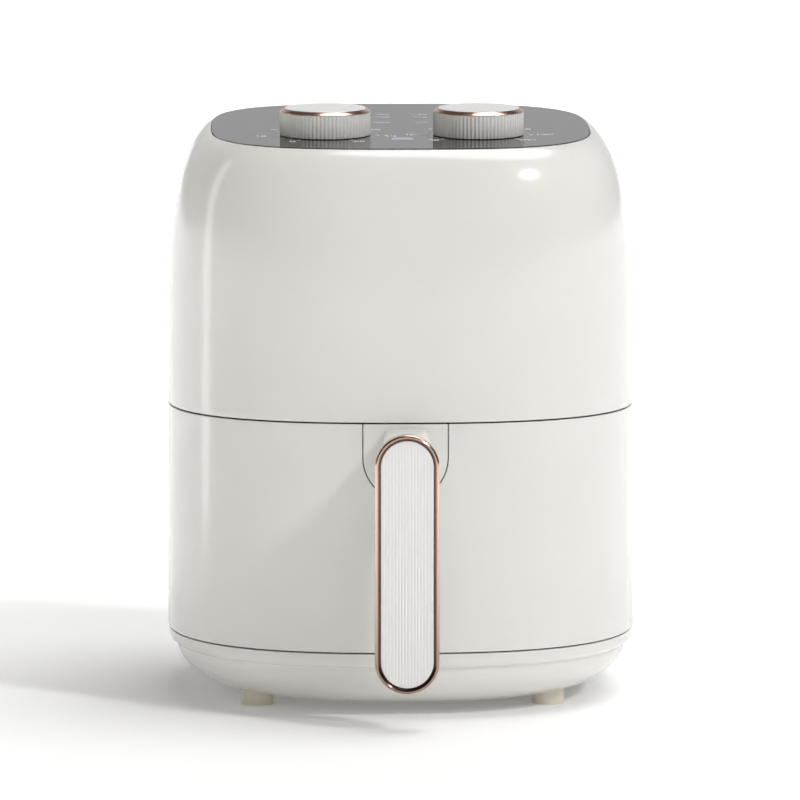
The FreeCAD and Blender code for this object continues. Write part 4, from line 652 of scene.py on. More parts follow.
def gasket_grey(colours):
    """Soft grey gasket rubber."""
    return plastic("gasket_grey", (0.2, 0.2, 0.2), 0.65, 0.08, 1300.0, 0.00005, vary=0.08)


def board_green(colours):
    """Green laminate of the boards."""
    return plastic("board_green", (0.03, 0.13, 0.05), 0.4, 0.06, 1500.0, 0.00002, vary=0.15)


FINISHES = {make.__name__: make for make in (
    shell_gloss, cream_matte, panel_gloss, rose_gold, foot_silicone, lens_milk, dark_nylon, sheet_steel,
    nonstick, element_steel, copper, lamination, shaft_steel, zinc, bronze, gasket_grey, board_green,
    cap_satin, rose_bevel)}


MADE = {}


def finish_of(name):
    """The material of that name, made once."""
    if name not in MADE:
        MADE[name] = FINISHES[name](bpy.context.scene.fryer_colours)
    return MADE[name]


# ---------------------------------------------------------------- operators

class FRYER_OT_upper_shell(bpy.types.Operator):
    """Build the one-piece upper moulding with its dome"""
    bl_idname = "fryer.upper_shell"
    bl_label = "Upper shell"

    def execute(self, context):
        body = context.scene.fryer_body
        turns = even_turns(body, body.columns)
        low = SHELL_LOW.z
        bend = arc(0, 90, 4)
        edge = body.edge
        rim_angle = math.asin(body.dome_fraction ** (body.dome_power / 2))
        rises = np.sin(np.linspace(0, rim_angle, 64)) ** (2 / body.dome_power)
        straight = np.linspace(low + edge, body.shoulder_level, 16)
        lip = body.panel_lip
        rows = [
            wall_rows(body, low + edge * (1 - np.sin(bend)), edge * (1 - np.cos(bend)), turns)[::-1],
            wall_rows(body, straight[1:-1], 0, turns),
            dome_rows(body, rises, 0, turns),
            rim_row(body, 0.5 * lip, 0.1 * lip, turns),
            rim_row(body, 0.9 * lip, -0.3 * lip, turns),
            rim_row(body, lip, -lip, turns),
            rim_row(body, lip, -body.panel_thickness, turns),
            rim_row(body, body.wall, -body.panel_thickness, turns),
            dome_rows(body, rises[-3::-3], body.wall, turns),
            wall_rows(body, np.linspace(body.shoulder_level, low, 5)[1:], body.wall, turns),
        ]
        points = np.vstack(rows)
        mesh = new_mesh("upper_shell_cover", points, [grid_faces(len(points), body.columns, True, True)])
        tidy(mesh)
        obj = piece("upper_shell_cover", mesh, "housing", finish_of("shell_gloss"),
                    ["upper_shell"], 40)
        carve(obj, vent_block(body.vent_lap))
        obj.data.shade_smooth()
        obj.data.set_sharp_from_angle(angle=math.radians(40))
        return {"FINISHED"}


def vent_block(lap):
    """A closed block that fills the vent cover's outline less a lap, through the wall."""
    x, z0, z1 = VENT_HIGH.x - lap, VENT_LOW.z + lap, VENT_HIGH.z - lap
    y0, y1 = VENT_LOW.y - 30 * MM, VENT_HIGH.y + 10 * MM
    corners = [(a, y, z) for y in (y0, y1) for a, z in ((-x, z0), (x, z0), (x, z1), (-x, z1))]
    index = np.array([[0, 1, 2, 3], [4, 5, 6, 7], [0, 1, 5, 4], [1, 2, 6, 5], [2, 3, 7, 6], [3, 0, 4, 7]])
    return tidy(new_mesh("vent_block", np.array(corners), [index]))


class FRYER_OT_drawer_front(bpy.types.Operator):
    """Build the drawer's front moulding with the notch for the handle's plate"""
    bl_idname = "fryer.drawer_front"
    bl_label = "Drawer front"

    def execute(self, context):
        body, handle = context.scene.fryer_body, context.scene.fryer_handle
        low, high = FRONT_LOW.z, FRONT_HIGH.z
        reach = body.patch_reach
        levels = np.linspace(high, low, 60)
        ribbon = notch_ribbon(body, handle, levels, reach)
        rows, columns = ribbon.shape[:2]
        faces = [grid_faces(rows, columns)]
        points = [ribbon.reshape(-1, 3)]
        start = rows * columns
        for side in (-1, 1):
            block = side_block(body, levels, reach, side)
            faces.append(grid_faces(*block.shape[:2], start=start))
            points.append(block.reshape(-1, 3))
            start += block.shape[0] * block.shape[1]
        mesh = tidy(new_mesh("drawer_front_cover", np.vstack(points), faces), 1e-5)
        face_out(mesh)
        obj = piece("drawer_front_cover", mesh, "drawer", finish_of("shell_gloss"),
                    ["drawer_front"])
        thicken(obj, body.wall)
        round_edges(obj, body.edge)
        return {"FINISHED"}


def thicken(obj, wall):
    """A live wall on a sheet's inner side."""
    solid = obj.modifiers.new("wall", "SOLIDIFY")
    solid.thickness, solid.offset, solid.use_even_offset = wall, -1.0, True


def face_out(mesh):
    """Turns an open sheet's faces away from the body's middle axis."""
    signs = [(f.center - Vector((0, MIDDLE_Y, f.center.z))).dot(f.normal) for f in mesh.polygons]
    if sum(signs) < 0:
        mesh.flip_normals()


def notch_outline(handle, grow, share):
    """Half of the plate's outline by share of the way: down the straight side, then round the
    quarter circle to the bottom. Returns x (right side) and the drop below the top."""
    radius = handle.plate_width / 2 + grow
    run = handle.plate_straight + radius * np.pi / 2
    along = share * run
    turn = np.clip((along - handle.plate_straight) / radius, 0, np.pi / 2)
    drop = np.minimum(along, handle.plate_straight) + radius * np.sin(turn)
    return radius * np.cos(turn), drop


def notch_ribbon(body, handle, levels, reach):
    """The front's middle: straight lines run from the notch's outline out to a rectangle's edge,
    which goes down one side, along the bottom and up the other, and all points lie on the wall."""
    high, low = levels[0], levels[-1]
    side_share = 0.66 * (high - levels) / (high - low)
    bottom = np.linspace(-1, 1, 49)[1:-1]
    right_x, right_drop = notch_outline(handle, handle.plate_gap, side_share)
    bottom_x, bottom_drop = notch_outline(handle, handle.plate_gap, 1 - 0.34 * np.abs(bottom))
    inner_x = np.concatenate([-right_x, np.sign(bottom) * bottom_x, right_x[::-1]])
    inner_z = high - np.concatenate([right_drop, bottom_drop, right_drop[::-1]])
    outer_x = np.concatenate([np.full(len(levels), -reach), bottom * reach, np.full(len(levels), reach)])
    outer_z = np.concatenate([levels, np.full(len(bottom), low), levels[::-1]])
    t = (np.linspace(0, 1, 26) ** 1.4)[:, None]
    return front_points(body, inner_x * (1 - t) + outer_x * t, inner_z * (1 - t) + outer_z * t)


def side_block(body, levels, reach, side):
    """The front's side: from the middle's edge round the corner to the split, evenly in turn."""
    level = levels[:, None]
    a, b = side_half(body, body.width / 2, level), side_half(body, body.depth / 2, level)
    first = np.arctan2(front_depth(body, reach, level), reach)
    last = np.arctan2(body.split, a * (1 - (body.split / b) ** body.plan_power) ** (1 / body.plan_power))
    turns = first + (last - first) * np.linspace(0, 1, 76)
    x, y = plan(a, b, body.plan_power, turns)
    return np.stack([side * x, y + MIDDLE_Y, level + 0 * x], -1)


class FRYER_OT_handle_plate(bpy.types.Operator):
    """Build the plate let into the drawer front behind the handle"""
    bl_idname = "fryer.handle_plate"
    bl_label = "Handle plate"

    def execute(self, context):
        body, handle = context.scene.fryer_body, context.scene.fryer_handle
        high = FRONT_HIGH.z
        share = np.concatenate([np.linspace(0, 0.38, 10), np.linspace(0.42, 1, 24)])
        x, drop = notch_outline(handle, 0.0, share)
        t = np.linspace(0, 1, 12)[:, None]
        middle_drop = np.minimum(drop, handle.plate_straight)
        half_z = high - (drop * t + middle_drop * (1 - t))
        right = front_points(body, x * t, half_z)
        left = right * np.array([-1, 1, 1])
        faces = [grid_faces(*right.shape[:2]), grid_faces(*left.shape[:2], start=right.size // 3)]
        points = np.vstack([right.reshape(-1, 3), left.reshape(-1, 3)])
        mesh = tidy(new_mesh("handle_plate_cover", points, faces), 1e-5)
        face_out(mesh)
        obj = piece("handle_plate_cover", mesh, "drawer", finish_of("shell_gloss"),
                    ["handle_plate"])
        thicken(obj, body.wall)
        round_edges(obj, body.edge)
        return {"FINISHED"}


class FRYER_OT_rear_shell(bpy.types.Operator):
    """Build the lower back moulding with its cord hole"""
    bl_idname = "fryer.rear_shell"
    bl_label = "Rear shell"

    def execute(self, context):
        body = context.scene.fryer_body
        level = np.linspace(FRONT_HIGH.z, FRONT_LOW.z, 60)[:, None]
        a, b = side_half(body, body.width / 2, level), side_half(body, body.depth / 2, level)
        start = body.split + body.seam
        first = np.arctan2(start, a * (1 - (start / b) ** body.plan_power) ** (1 / body.plan_power))
        turns = first + (np.pi - 2 * first) * np.linspace(0, 1, 170)
        sheets = []
        for inset in (0.0, body.wall):
            x, y = plan(a - inset, b - inset, body.plan_power, turns)
            sheets.append(np.stack([x, y + MIDDLE_Y, level + 0 * x], -1))
        mesh = two_skins("rear_shell_cover", *sheets)
        obj = piece("rear_shell_cover", mesh, "housing", finish_of("shell_gloss"),
                    ["rear_shell"], 40)
        low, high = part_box("cord_gland")
        radius = body.gland_hole
        hole = turned([(0, -0.03), (radius, -0.03), (radius, 0.03), (0, 0.03)], 48)
        hole = np.stack([hole[..., 0], hole[..., 2] + high.y, hole[..., 1] + (low.z + high.z) / 2], -1)
        carve(obj, tidy(new_mesh("gland_hole", hole, [grid_faces(4, 48, False, True)])))
        obj.data.shade_smooth()
        round_edges(obj, body.edge)
        return {"FINISHED"}


def two_skins(name, outer, inner):
    """A closed wall from two matching open sheets, joined all round their edges."""
    rows, columns = outer.shape[:2]
    count = rows * columns
    index = np.arange(count).reshape(rows, columns)
    loop = np.concatenate([index[0, :-1], index[:-1, -1], index[-1, :0:-1], index[:0:-1, 0]])
    ahead = np.roll(loop, -1)
    rim = np.stack([loop, ahead, ahead + count, loop + count], -1)
    points = np.vstack([outer.reshape(-1, 3), inner.reshape(-1, 3)])
    skins = [grid_faces(rows, columns), grid_faces(rows, columns, start=count)]
    return tidy(new_mesh(name, points, [*skins, rim]))


class FRYER_OT_base_tray(bpy.types.Operator):
    """Build the bowl that the fryer stands on"""
    bl_idname = "fryer.base_tray"
    bl_label = "Base tray"

    def execute(self, context):
        body, tray = context.scene.fryer_body, context.scene.fryer_tray
        turns = even_turns(body, body.columns)
        outer = tray_rows(body, tray, 0.0, turns)
        inner = tray_rows(body, tray, body.wall, turns)
        centre = [np.tile(rows[-1].mean(0), (1, body.columns, 1)) for rows in (outer, inner)]
        points = np.vstack([outer, centre[0], centre[1], inner[::-1]])
        faces = grid_faces(len(points), body.columns, True, True)
        mesh = tidy(new_mesh("base_tray_cover", points, [faces]))
        obj = piece("base_tray_cover", mesh, "housing", finish_of("shell_gloss"),
                    ["base_tray"], 40)
        level = TRAY_LOW.z
        sink, screw, margin, around = level + tray.sink_depth, tray.screw_hole, 10 * MM, 32
        profile = [(0, level - margin), (tray.screw_sink, level - margin), (tray.screw_sink, sink),
                   (screw, sink), (screw, level + margin), (0, level + margin)]
        hole = turned(profile, around)
        spots = [(x * tray.screw_side, MIDDLE_Y + y * tray.screw_depth, 0)
                 for x in (-1, 1) for y in (-1, 1)]
        holes = np.vstack([(hole + np.array(spot)).reshape(-1, 3) for spot in spots])
        size = len(profile) * around
        faces = [grid_faces(len(profile), around, False, True, start=k * size) for k in range(4)]
        carve(obj, tidy(new_mesh("screw_holes", holes, faces)))
        obj.data.shade_smooth()
        obj.data.set_sharp_from_angle(angle=math.radians(40))
        return {"FINISHED"}


def tray_rows(body, tray, wall, turns):
    """Sections of the tray: a band whose inset grows with the drop and with its fourth power, a
    small step, then a bowl whose drop and inset follow a superellipse quarter down to the flat."""
    top, foot = TRAY_HIGH.z, TRAY_LOW.z + wall
    share = np.linspace(0, 1, 14)
    band = tray.band_start + tray.band_lean * share + tray.band_curl * share ** 4
    bowl_top = top - tray.band - tray.ledge
    bend = arc(0, 90, 44)
    down = np.sin(bend) ** (2 / tray.power)
    inward = 1 - np.maximum(np.cos(bend), 0) ** (2 / tray.power)
    levels = [top - tray.band * share[1:], bowl_top - (bowl_top - foot) * down]
    insets = [band[1:], band[-1] + tray.step + tray.inset * inward]
    if wall:
        start, start_insets = [top], band[:1]
    else:
        start, start_insets = [top, top - tray.lip_drop], [tray.lip_inset, tray.lip_middle]
    return wall_rows(body, np.concatenate([start, *levels]),
                     np.concatenate([start_insets, *insets]) + wall, turns)


def on_panel(points, spot):
    """Stands points made round Z on the sloping panel at a knob's centre."""
    tilt = Matrix.Rotation(bpy.context.scene.fryer_body.panel_tilt, 3, "X")
    return points @ np.array(tilt).T + np.array(spot)


class FRYER_OT_knobs(bpy.types.Operator):
    """Build both controls: a fluted wall, a bright ring and a cap"""
    bl_idname = "fryer.knobs"
    bl_label = "Knobs"

    def execute(self, context):
        for control, joint in (("timer", "timer_turn"), ("temperature", "temperature_turn")):
            build_knob(context.scene.fryer_knob, control, JOINTS[joint]["pos_m"])
        return {"FINISHED"}


def build_knob(knob, control, spot):
    """One control's three pieces, turned profiles carried round the control's axis."""
    body = control + "_control"
    top = knob.gap + knob.wall
    edge = 0.3 * MM
    bend = arc(0, 90, 4)
    depth = knob.flute_depth

    def flute(turns):
        return (0.5 - 0.5 * np.cos(turns * knob.flutes)) ** 0.8

    outside = [(knob.radius - edge * (1 - np.sin(a)), knob.gap + edge * (1 - np.cos(a)), depth)
               for a in bend]
    crown = [(knob.radius - edge * (1 - np.cos(a)), top - edge * (1 - np.sin(a)), depth) for a in bend]
    wall = [(knob.radius - 4 * MM, knob.gap, 0)] + outside + crown
    wall += [(knob.cap_radius, top, 0), (knob.cap_radius, top - 4 * MM, 0),
             (knob.radius - 4 * MM, top - 4 * MM, 0)]
    columns = knob.flutes * 8
    points = on_panel(turned(wall, columns, flute), spot)
    mesh = tidy(new_mesh(body, points, [grid_faces(len(wall), columns, True, True)]))
    piece(control + "_knob_wall", mesh, body, finish_of("cream_matte"),
          [control + "_knob"], 50)

    high = top + knob.ring_height
    brim = high - 0.35 * MM
    corners = [(knob.cap_radius, top), (knob.radius, top), (knob.radius, top + 0.35 * MM),
               (knob.ring_top, brim), (knob.cap_radius, brim)]
    ring = rounded(corners, 0.28 * MM)
    mesh = tidy(new_mesh(body, on_panel(turned(ring, 192), spot), [grid_faces(len(ring), 192, True, True)]))
    piece(control + "_knob_bright_ring", mesh, body, finish_of("rose_gold"),
          [control + "_knob_ring"], 50)

    rim = knob.cap_radius - 0.06 * MM
    brow = knob.ring_top - 0.1 * MM
    cap = [(0, top), (rim, top), (rim, brim + 0.01 * MM), (brow - 0.1 * MM, brim + 0.01 * MM)]
    cap += [(brow - 0.3 * MM * (1 - math.cos(a)), brim + 0.02 * MM + 0.28 * MM * math.sin(a))
            for a in arc(15, 90, 5)]
    cap += [(rim - 3 * MM, high - 0.04 * MM), (0.5 * rim, high - 0.02 * MM), (0, high - 0.01 * MM)]
    mesh = tidy(new_mesh(body, on_panel(turned(cap, 192), spot), [grid_faces(len(cap), 192, False, True)]))
    piece(control + "_knob_top", mesh, body, finish_of("cap_satin"),
          [control + "_knob_cap"], 40)


class FRYER_OT_handle(bpy.types.Operator):
    """Build the handle: grip, neck, bright ring and ribbed insert"""
    bl_idname = "fryer.handle"
    bl_label = "Handle"

    def execute(self, context):
        handle = context.scene.fryer_handle
        face = RING_HIGH.y
        back = face + handle.grip
        radius = RING_HIGH.x
        bend = arc(0, 90, 8)
        turn = handle.back_round
        profile = [(back, radius)]
        profile += [(back - turn * (1 - math.cos(a)), turn * (1 - math.sin(a))) for a in bend]
        profile += [(face, 0.0), (face, radius)]
        mesh = stadium_solid("handle_grip", profile)
        piece("handle_grip", mesh, "drawer", finish_of("shell_gloss"), ["handle_shell"], 50)

        front = face - handle.ring_height
        wide = handle.ring_width
        corners = [(face, 0.0), (face, wide), (front + 1.5 * MM, wide), (front + 0.5 * MM, wide - 1.2 * MM),
                   (front, 1.2 * MM), (front + 0.9 * MM, 0.0)]
        profile = rounded(np.array(corners)[:, ::-1], 0.45 * MM)[:, ::-1]
        mesh = stadium_solid("handle_bright_ring", profile, True)
        # the bevel share masks the ring's painted highlight and painted shade
        mark_bevel(mesh, radius, wide)
        piece("handle_bright_ring", mesh, "drawer", finish_of("rose_bevel"),
              ["handle_trim_ring"], 60)

        mesh = ribbed_insert(handle, radius - wide - 0.05 * MM, face, face - handle.insert)
        piece("handle_ribbed_insert", mesh, "drawer", finish_of("cap_satin"),
              ["handle_insert"], 40)

        mesh = neck_mesh(context.scene.fryer_body, handle, face)
        piece("handle_neck", mesh, "drawer", finish_of("shell_gloss"), ["handle_shell"], 50)
        return {"FINISHED"}


def mark_bevel(mesh, radius, wide):
    """Stores how far each point lies in from the slot outline, as a share of the ring's width. The ring's finish
    paints a highlight and shade from it.
    """
    points = np.zeros(len(mesh.vertices) * 3)
    mesh.vertices.foreach_get("co", points)
    x, z = points.reshape(-1, 3)[:, 0], points.reshape(-1, 3)[:, 2]
    low, high = RING_LOW.z + radius, RING_HIGH.z - radius
    inset = radius - np.hypot(x, np.maximum(np.maximum(z - high, low - z), 0))
    mesh.attributes.new("bevel", "FLOAT", "POINT").data.foreach_set("value", inset / wide)


def stadium_solid(name, profile, closed=False):
    """A profile of (depth, inset) carried round the handle's upright slot outline. Where the inset
    is the slot's whole radius the outline has shrunk to its middle line, which closes the end."""
    radius = RING_HIGH.x
    low, high = RING_LOW.z + radius, RING_HIGH.z - radius
    turns = np.concatenate([arc(0, 180, 49), arc(180, 360, 49)])
    centre = np.concatenate([np.full(49, high), np.full(49, low)])
    depth, inset = np.array(profile, float).T[:, :, None]
    x = (radius - inset) * np.cos(turns)
    z = centre + (radius - inset) * np.sin(turns)
    points = np.stack([x, depth + 0 * x, z], -1)
    straight = 24
    first, second = points[:, :49], points[:, 49:]
    share = np.linspace(0, 1, straight + 2)[1:-1, None]
    down = first[:, -1:] * (1 - share) + second[:, :1] * share
    up = second[:, -1:] * (1 - share) + first[:, :1] * share
    points = np.concatenate([first, down, second, up], 1)
    return tidy(new_mesh(name, points, [grid_faces(*points.shape[:2], closed, True)]))


def ribbed_insert(handle, radius, back, front):
    """A slot-shaped slab whose front dips by a rounded groove at each pitch across it. Columns run
    up between the ends of the slot outline at each x."""
    across = np.linspace(-1, 1, 273) * (radius - 0.02 * MM)
    low, high = RING_LOW.z + RING_HIGH.x, RING_HIGH.z - RING_HIGH.x
    rise = np.sqrt(radius ** 2 - across ** 2)
    share = (0.5 - 0.5 * np.cos(np.pi * np.linspace(0, 1, 25)))[:, None]
    z = (low - rise) * (1 - share) + (high + rise) * share
    wave = (0.5 + 0.5 * np.cos(2 * np.pi * across / handle.rib_pitch)) ** 3
    from_spine = np.hypot(across + 0 * z, np.maximum(np.maximum(z - high, low - z), 0))
    edge = np.clip((radius - from_spine) / (0.8 * MM), 0, 1)
    dip = handle.rib_depth * wave * edge + 0.25 * MM * (1 - edge) ** 2
    x = across + 0 * z
    outer = np.stack([x, front + dip, z], -1)
    inner = np.stack([x, back + 0 * x, z], -1)
    return two_skins("handle_ribbed_insert", outer, inner)


def neck_mesh(body, handle, face):
    """The neck: a rounded rectangle carried from the drawer to the grip, wider and lower as it goes.
    The section is a squircle |x/a|^5 + |z/b|^5 = 1, and width and level ease in with a smooth step."""
    top = FRONT_HIGH.z - 2 * MM
    start = MIDDLE_Y - body.depth / 2 + 1.5 * MM
    end = face + 5 * MM
    t = np.linspace(0, 1, 28)[:, None]
    ease = t * t * (3 - 2 * t)
    radius = RING_HIGH.x
    half_x = handle.neck_width / 2 + (radius - 1.6 * MM - handle.neck_width / 2) * ease
    half_z = handle.neck_height / 2 + 0 * t
    first, last = top - handle.neck_height / 2, RING_HIGH.z - radius + 6 * MM - handle.neck_height / 2
    level = first + (last - first) * (0.65 * t + 0.35 * ease)
    turns = np.linspace(0, 2 * np.pi, 96, endpoint=False)
    x, z = plan(half_x, half_z, 6.0, turns)
    rows = np.stack([x, start + (end - start) * t + 0 * x, z + level], -1)
    ends = [np.tile(rows[k].mean(0), (1, 96, 1)) for k in (0, -1)]
    points = np.vstack([ends[0], rows, ends[1]])
    return tidy(new_mesh("handle_neck", points, [grid_faces(len(points), 96, False, True)]))


class FRYER_OT_vent(bpy.types.Operator):
    """Build the slatted cover at the back"""
    bl_idname = "fryer.vent"
    bl_label = "Rear vent"

    def execute(self, context):
        mesh = vent_mesh(context.scene.fryer_vent)
        obj = piece("rear_vent_grille", mesh, "housing", finish_of("shell_gloss"),
                    ["rear_vent_cover"])
        round_edges(obj, 0.5 * MM, 2)
        return {"FINISHED"}


def vent_mesh(vent):
    """A slab with rounded corners and level slots through it: cells of a grid are left out at the
    slots, corner cells are drawn onto the corner's circle, and every open edge gets a wall."""
    corner, slot, margin, slots, side = vent.corner, vent.slot, vent.margin, vent.slots, vent.side
    low, high = VENT_LOW.z, VENT_HIGH.z
    pitch = (high - low - 2 * margin - slot) / (slots - 1)
    edges = [low + margin + k * pitch + d for k in range(slots) for d in (0.0, slot)]
    ins = np.linspace(0, corner, 4)
    z_lines = np.array(sorted([*(low + ins), *edges, *(high - ins)]))
    half = VENT_HIGH.x
    x_right = np.array([*np.linspace(0, half - side, 9), half - 10 * MM, *(half - ins[::-1])])
    x_lines = np.concatenate([-x_right[:0:-1], x_right])
    x, z = np.meshgrid(x_lines, z_lines)
    middle, tall = (low + high) / 2, (high - low) / 2 - corner
    over_x, over_z = np.abs(x) - (half - corner), np.abs(z - middle) - tall
    outside = (over_x > 0) & (over_z > 0)
    square = np.maximum(over_x, over_z)
    shrink = np.where(outside, square / np.maximum(np.hypot(over_x, over_z), 1e-9), 1.0)
    x = np.where(outside, np.sign(x) * (half - corner + over_x * shrink), x)
    z = np.where(outside, middle + np.sign(z - middle) * (tall + over_z * shrink), z)
    rows, columns = x.shape
    centre_z = (z_lines[:-1] + z_lines[1:]) / 2
    centre_x = (x_lines[:-1] + x_lines[1:]) / 2
    in_slot = np.zeros(rows - 1, bool)
    for k in range(slots):
        start = low + margin + k * pitch
        in_slot |= (centre_z > start) & (centre_z < start + slot)
    keep = ~(in_slot[:, None] & (np.abs(centre_x) < half - side)[None, :])
    outer = np.stack([x, VENT_HIGH.y + 0 * x, z], -1)
    inner = np.stack([x, VENT_LOW.y + 0 * x, z], -1)
    return pierced_slab("rear_vent_grille", outer, inner, keep)


def pierced_slab(name, outer, inner, keep):
    """A closed slab from two matching sheets with some cells left out. An edge between a kept cell
    and a missing one, or the sheet's border, gets a wall."""
    rows, columns = outer.shape[:2]
    count = rows * columns
    index = np.arange(count).reshape(rows, columns)
    cells = np.stack([index[:-1, :-1], index[:-1, 1:], index[1:, 1:], index[1:, :-1]], -1)
    padded = np.pad(keep, 1)
    level = padded[:-1, 1:-1] != padded[1:, 1:-1]
    upright = padded[1:-1, :-1] != padded[1:-1, 1:]
    a = np.concatenate([index[:, :-1][level], index[:-1, :][upright]])
    b = np.concatenate([index[:, 1:][level], index[1:, :][upright]])
    walls = np.stack([a, b, b + count, a + count], -1)
    points = np.vstack([outer.reshape(-1, 3), inner.reshape(-1, 3)])
    return tidy(new_mesh(name, points, [cells[keep], cells[keep] + count, walls]))


class FRYER_OT_panel_marks(bpy.types.Operator):
    """Print the dials, ticks and small symbols on the panel"""
    bl_idname = "fryer.panel_marks"
    bl_label = "Panel marks"

    def execute(self, context):
        ink = context.scene.fryer_colours.marks
        material = plastic("marks_print", ink, 0.4, 0.05, 3000.0, 0.000004)
        marks = context.scene.fryer_marks
        parts = dial_marks(marks)
        points = np.vstack([p for p, f in parts])
        faces, start = [], 0
        for p, f in parts:
            faces.append(f + start)
            start += len(p)
        body = context.scene.fryer_body
        points = on_panel(points, (0.0, MIDDLE_Y, body.panel_level))
        mesh = new_mesh("panel_marks", points, faces)
        obj = piece("panel_marks", mesh, "housing", material)
        thicken(obj, marks.ink)
        return {"FINISHED"}


def bar(x, y, along, across, turn=0.0):
    """A printed bar, centred on x and y, turned about the panel's normal."""
    corners = np.array([(-along, -across), (along, -across), (along, across), (-along, across)]) / 2
    c, s = math.cos(turn), math.sin(turn)
    return corners @ np.array([(c, s), (-s, c)]) + (x, y), np.array([[0, 1, 2, 3]])


def disc(x, y, radius):
    """A printed dot: one face round a circle."""
    turns = np.linspace(0, 2 * np.pi, 20, endpoint=False)
    points = np.column_stack([x + radius * np.cos(turns), y + radius * np.sin(turns)])
    return points, np.arange(20)[None, :]


def printed_number(marks, text, x, y):
    """A printed number as flat triangles in the panel's plane."""
    curve = bpy.data.curves.new("number", "FONT")
    curve.body, curve.size, curve.align_x, curve.align_y = text, marks.number_size, "CENTER", "CENTER"
    curve.resolution_u, curve.offset = 3, marks.number_weight
    holder = bpy.data.objects.new("number", curve)
    bpy.context.scene.collection.objects.link(holder)
    bpy.context.view_layer.update()
    flat = bpy.data.meshes.new_from_object(holder.evaluated_get(bpy.context.evaluated_depsgraph_get()))
    flat.calc_loop_triangles()
    points = np.zeros(len(flat.vertices) * 3)
    flat.vertices.foreach_get("co", points)
    faces = np.zeros(len(flat.loop_triangles) * 3, int)
    flat.loop_triangles.foreach_get("vertices", faces)
    bpy.data.objects.remove(holder)
    bpy.data.curves.remove(curve)
    bpy.data.meshes.remove(flat)
    return points.reshape(-1, 3)[:, :2] + (x, y), faces.reshape(-1, 3)


def dial_marks(marks):
    """Ticks and numbers round both knobs, and short lines with round dots behind them. Each part is
    its points in the panel's plane, raised by the print's lift, and its faces."""
    parts = []
    dials = ((-1, range(0, 70, 10), 300), (1, range(80, 220, 20), 270))
    for side, numbers, sweep in dials:
        centre = np.array([side * marks.dial_side, -marks.dial_front])
        steps = 4 * (len(numbers) - 1)
        for k in range(steps + 1):
            turn = math.radians(90 + sweep / 2 - sweep * k / steps)
            out = np.array([math.cos(turn), math.sin(turn)])
            if k % 4:
                parts.append(bar(*(centre + out * marks.tick_radius), 1.8 * MM, 0.9 * MM, turn))
                continue
            parts.append(bar(*(centre + out * marks.main_radius), 3.0 * MM, 1.3 * MM, turn))
            spot = centre + out * marks.number_radius
            parts.append(printed_number(marks, str(numbers[k // 4]), *spot))
    for y in (57 * MM, 43 * MM, 17 * MM):
        parts.append(bar(-11 * MM, y, 13 * MM, 1.8 * MM))
        parts.append(bar(12 * MM, y, 9 * MM, 1.8 * MM))
        parts.append(disc(22 * MM, y, 2.2 * MM))
    return [(np.column_stack([p, np.full(len(p), marks.lift)]), faces) for p, faces in parts]


class FRYER_OT_finishes(bpy.types.Operator):
    """Give every frame node that still shows its material"""
    bl_idname = "fryer.finishes"
    bl_label = "Frame finishes"

    def execute(self, context):
        slots = {part["node"]: part["material_slot"] for part in frame["record"]["subparts"]}
        for name, obj in frame["nodes"].items():
            slot = slots[name]
            material = finish_of(slot)
            if not obj.material_slots:
                obj.data.materials.append(material)
            for place in obj.material_slots:
                place.material = material
        return {"FINISHED"}


class FRYER_OT_stage(bpy.types.Operator):
    """Build the floor, lights and camera"""
    bl_idname = "fryer.stage"
    bl_label = "Stage"

    def execute(self, context):
        scene, stage = context.scene, context.scene.fryer_stage
        disc = turned([(0, 0), (0.5, 0), (2.0, 0), (stage.floor_radius, 0)], 64)
        floor_mesh = tidy(new_mesh("floor", disc, [grid_faces(4, 64, False, True)]))
        floor = bpy.data.objects.new("floor", floor_mesh)
        scene.collection.objects.link(floor)
        material, tree, shader = nodes_of("floor_paper")
        tint = scene.fryer_colours.floor
        colour_span(tree, noise(tree, 3.0), shader.inputs["Base Color"],
                    shade(tint, 0.995), shade(tint, 1.005))
        shader.inputs["Roughness"].default_value = 0.9
        shader.inputs["Specular IOR Level"].default_value = 0.2
        shader.inputs["Emission Color"].default_value = (1.0, 1.0, 1.0, 1.0)
        # the floor glows, less by the fryer: a painted shade round it
        away = add(tree, "VectorMath", operation="LENGTH")
        tree.links.new(add(tree, "TexCoord").outputs["Object"], away.inputs[0])
        reach = add(tree, "MapRange", interpolation_type="SMOOTHSTEP")
        spans = {"From Min": stage.near, "From Max": stage.far,
                 "To Min": stage.near_glow, "To Max": stage.glow}
        for end, value in spans.items():
            reach.inputs[end].default_value = value
        tree.links.new(away.outputs["Value"], reach.inputs["Value"])
        tree.links.new(reach.outputs["Result"], shader.inputs["Emission Strength"])
        floor.data.materials.append(material)
        if floor.data.polygons[0].normal.z < 0:
            floor.data.flip_normals()

        scene.world = room_light(stage)
        scene.view_settings.view_transform = "Standard"
        turn, rise = stage.key_turn, stage.key_rise
        key = Vector((math.sin(turn) * math.cos(rise), -math.cos(turn) * math.cos(rise), math.sin(rise)))
        sun = lamp("key", "SUN", key, stage.key)
        sun.data.angle = stage.key_size
        spot = Vector((-0.88, 0.20, 0.0))
        strip = lamp("strip", "AREA", spot + Vector((0, 0, stage.strip_height / 2)), stage.strip)
        strip.data.shape = "RECTANGLE"
        strip.data.size, strip.data.size_y = stage.strip_width, stage.strip_height
        strip.rotation_euler = spot.to_track_quat("Z", "Y").to_euler()
        camera = bpy.data.cameras.new("camera")
        camera.lens, camera.sensor_width = stage.lens, 36.0
        eye = bpy.data.objects.new("camera", camera)
        scene.collection.objects.link(eye)
        aim = Vector((0.0, MIDDLE_Y, stage.aim_level))
        level = math.cos(stage.pitch) * stage.distance
        eye.location = aim + Vector((-level * math.sin(stage.yaw), -level * math.cos(stage.yaw),
                                     math.sin(stage.pitch) * stage.distance))
        eye.rotation_euler = (aim - eye.location).to_track_quat("-Z", "Y").to_euler()
        camera.clip_start, camera.clip_end = 0.05, 100.0
        scene.camera = eye
        return {"FINISHED"}


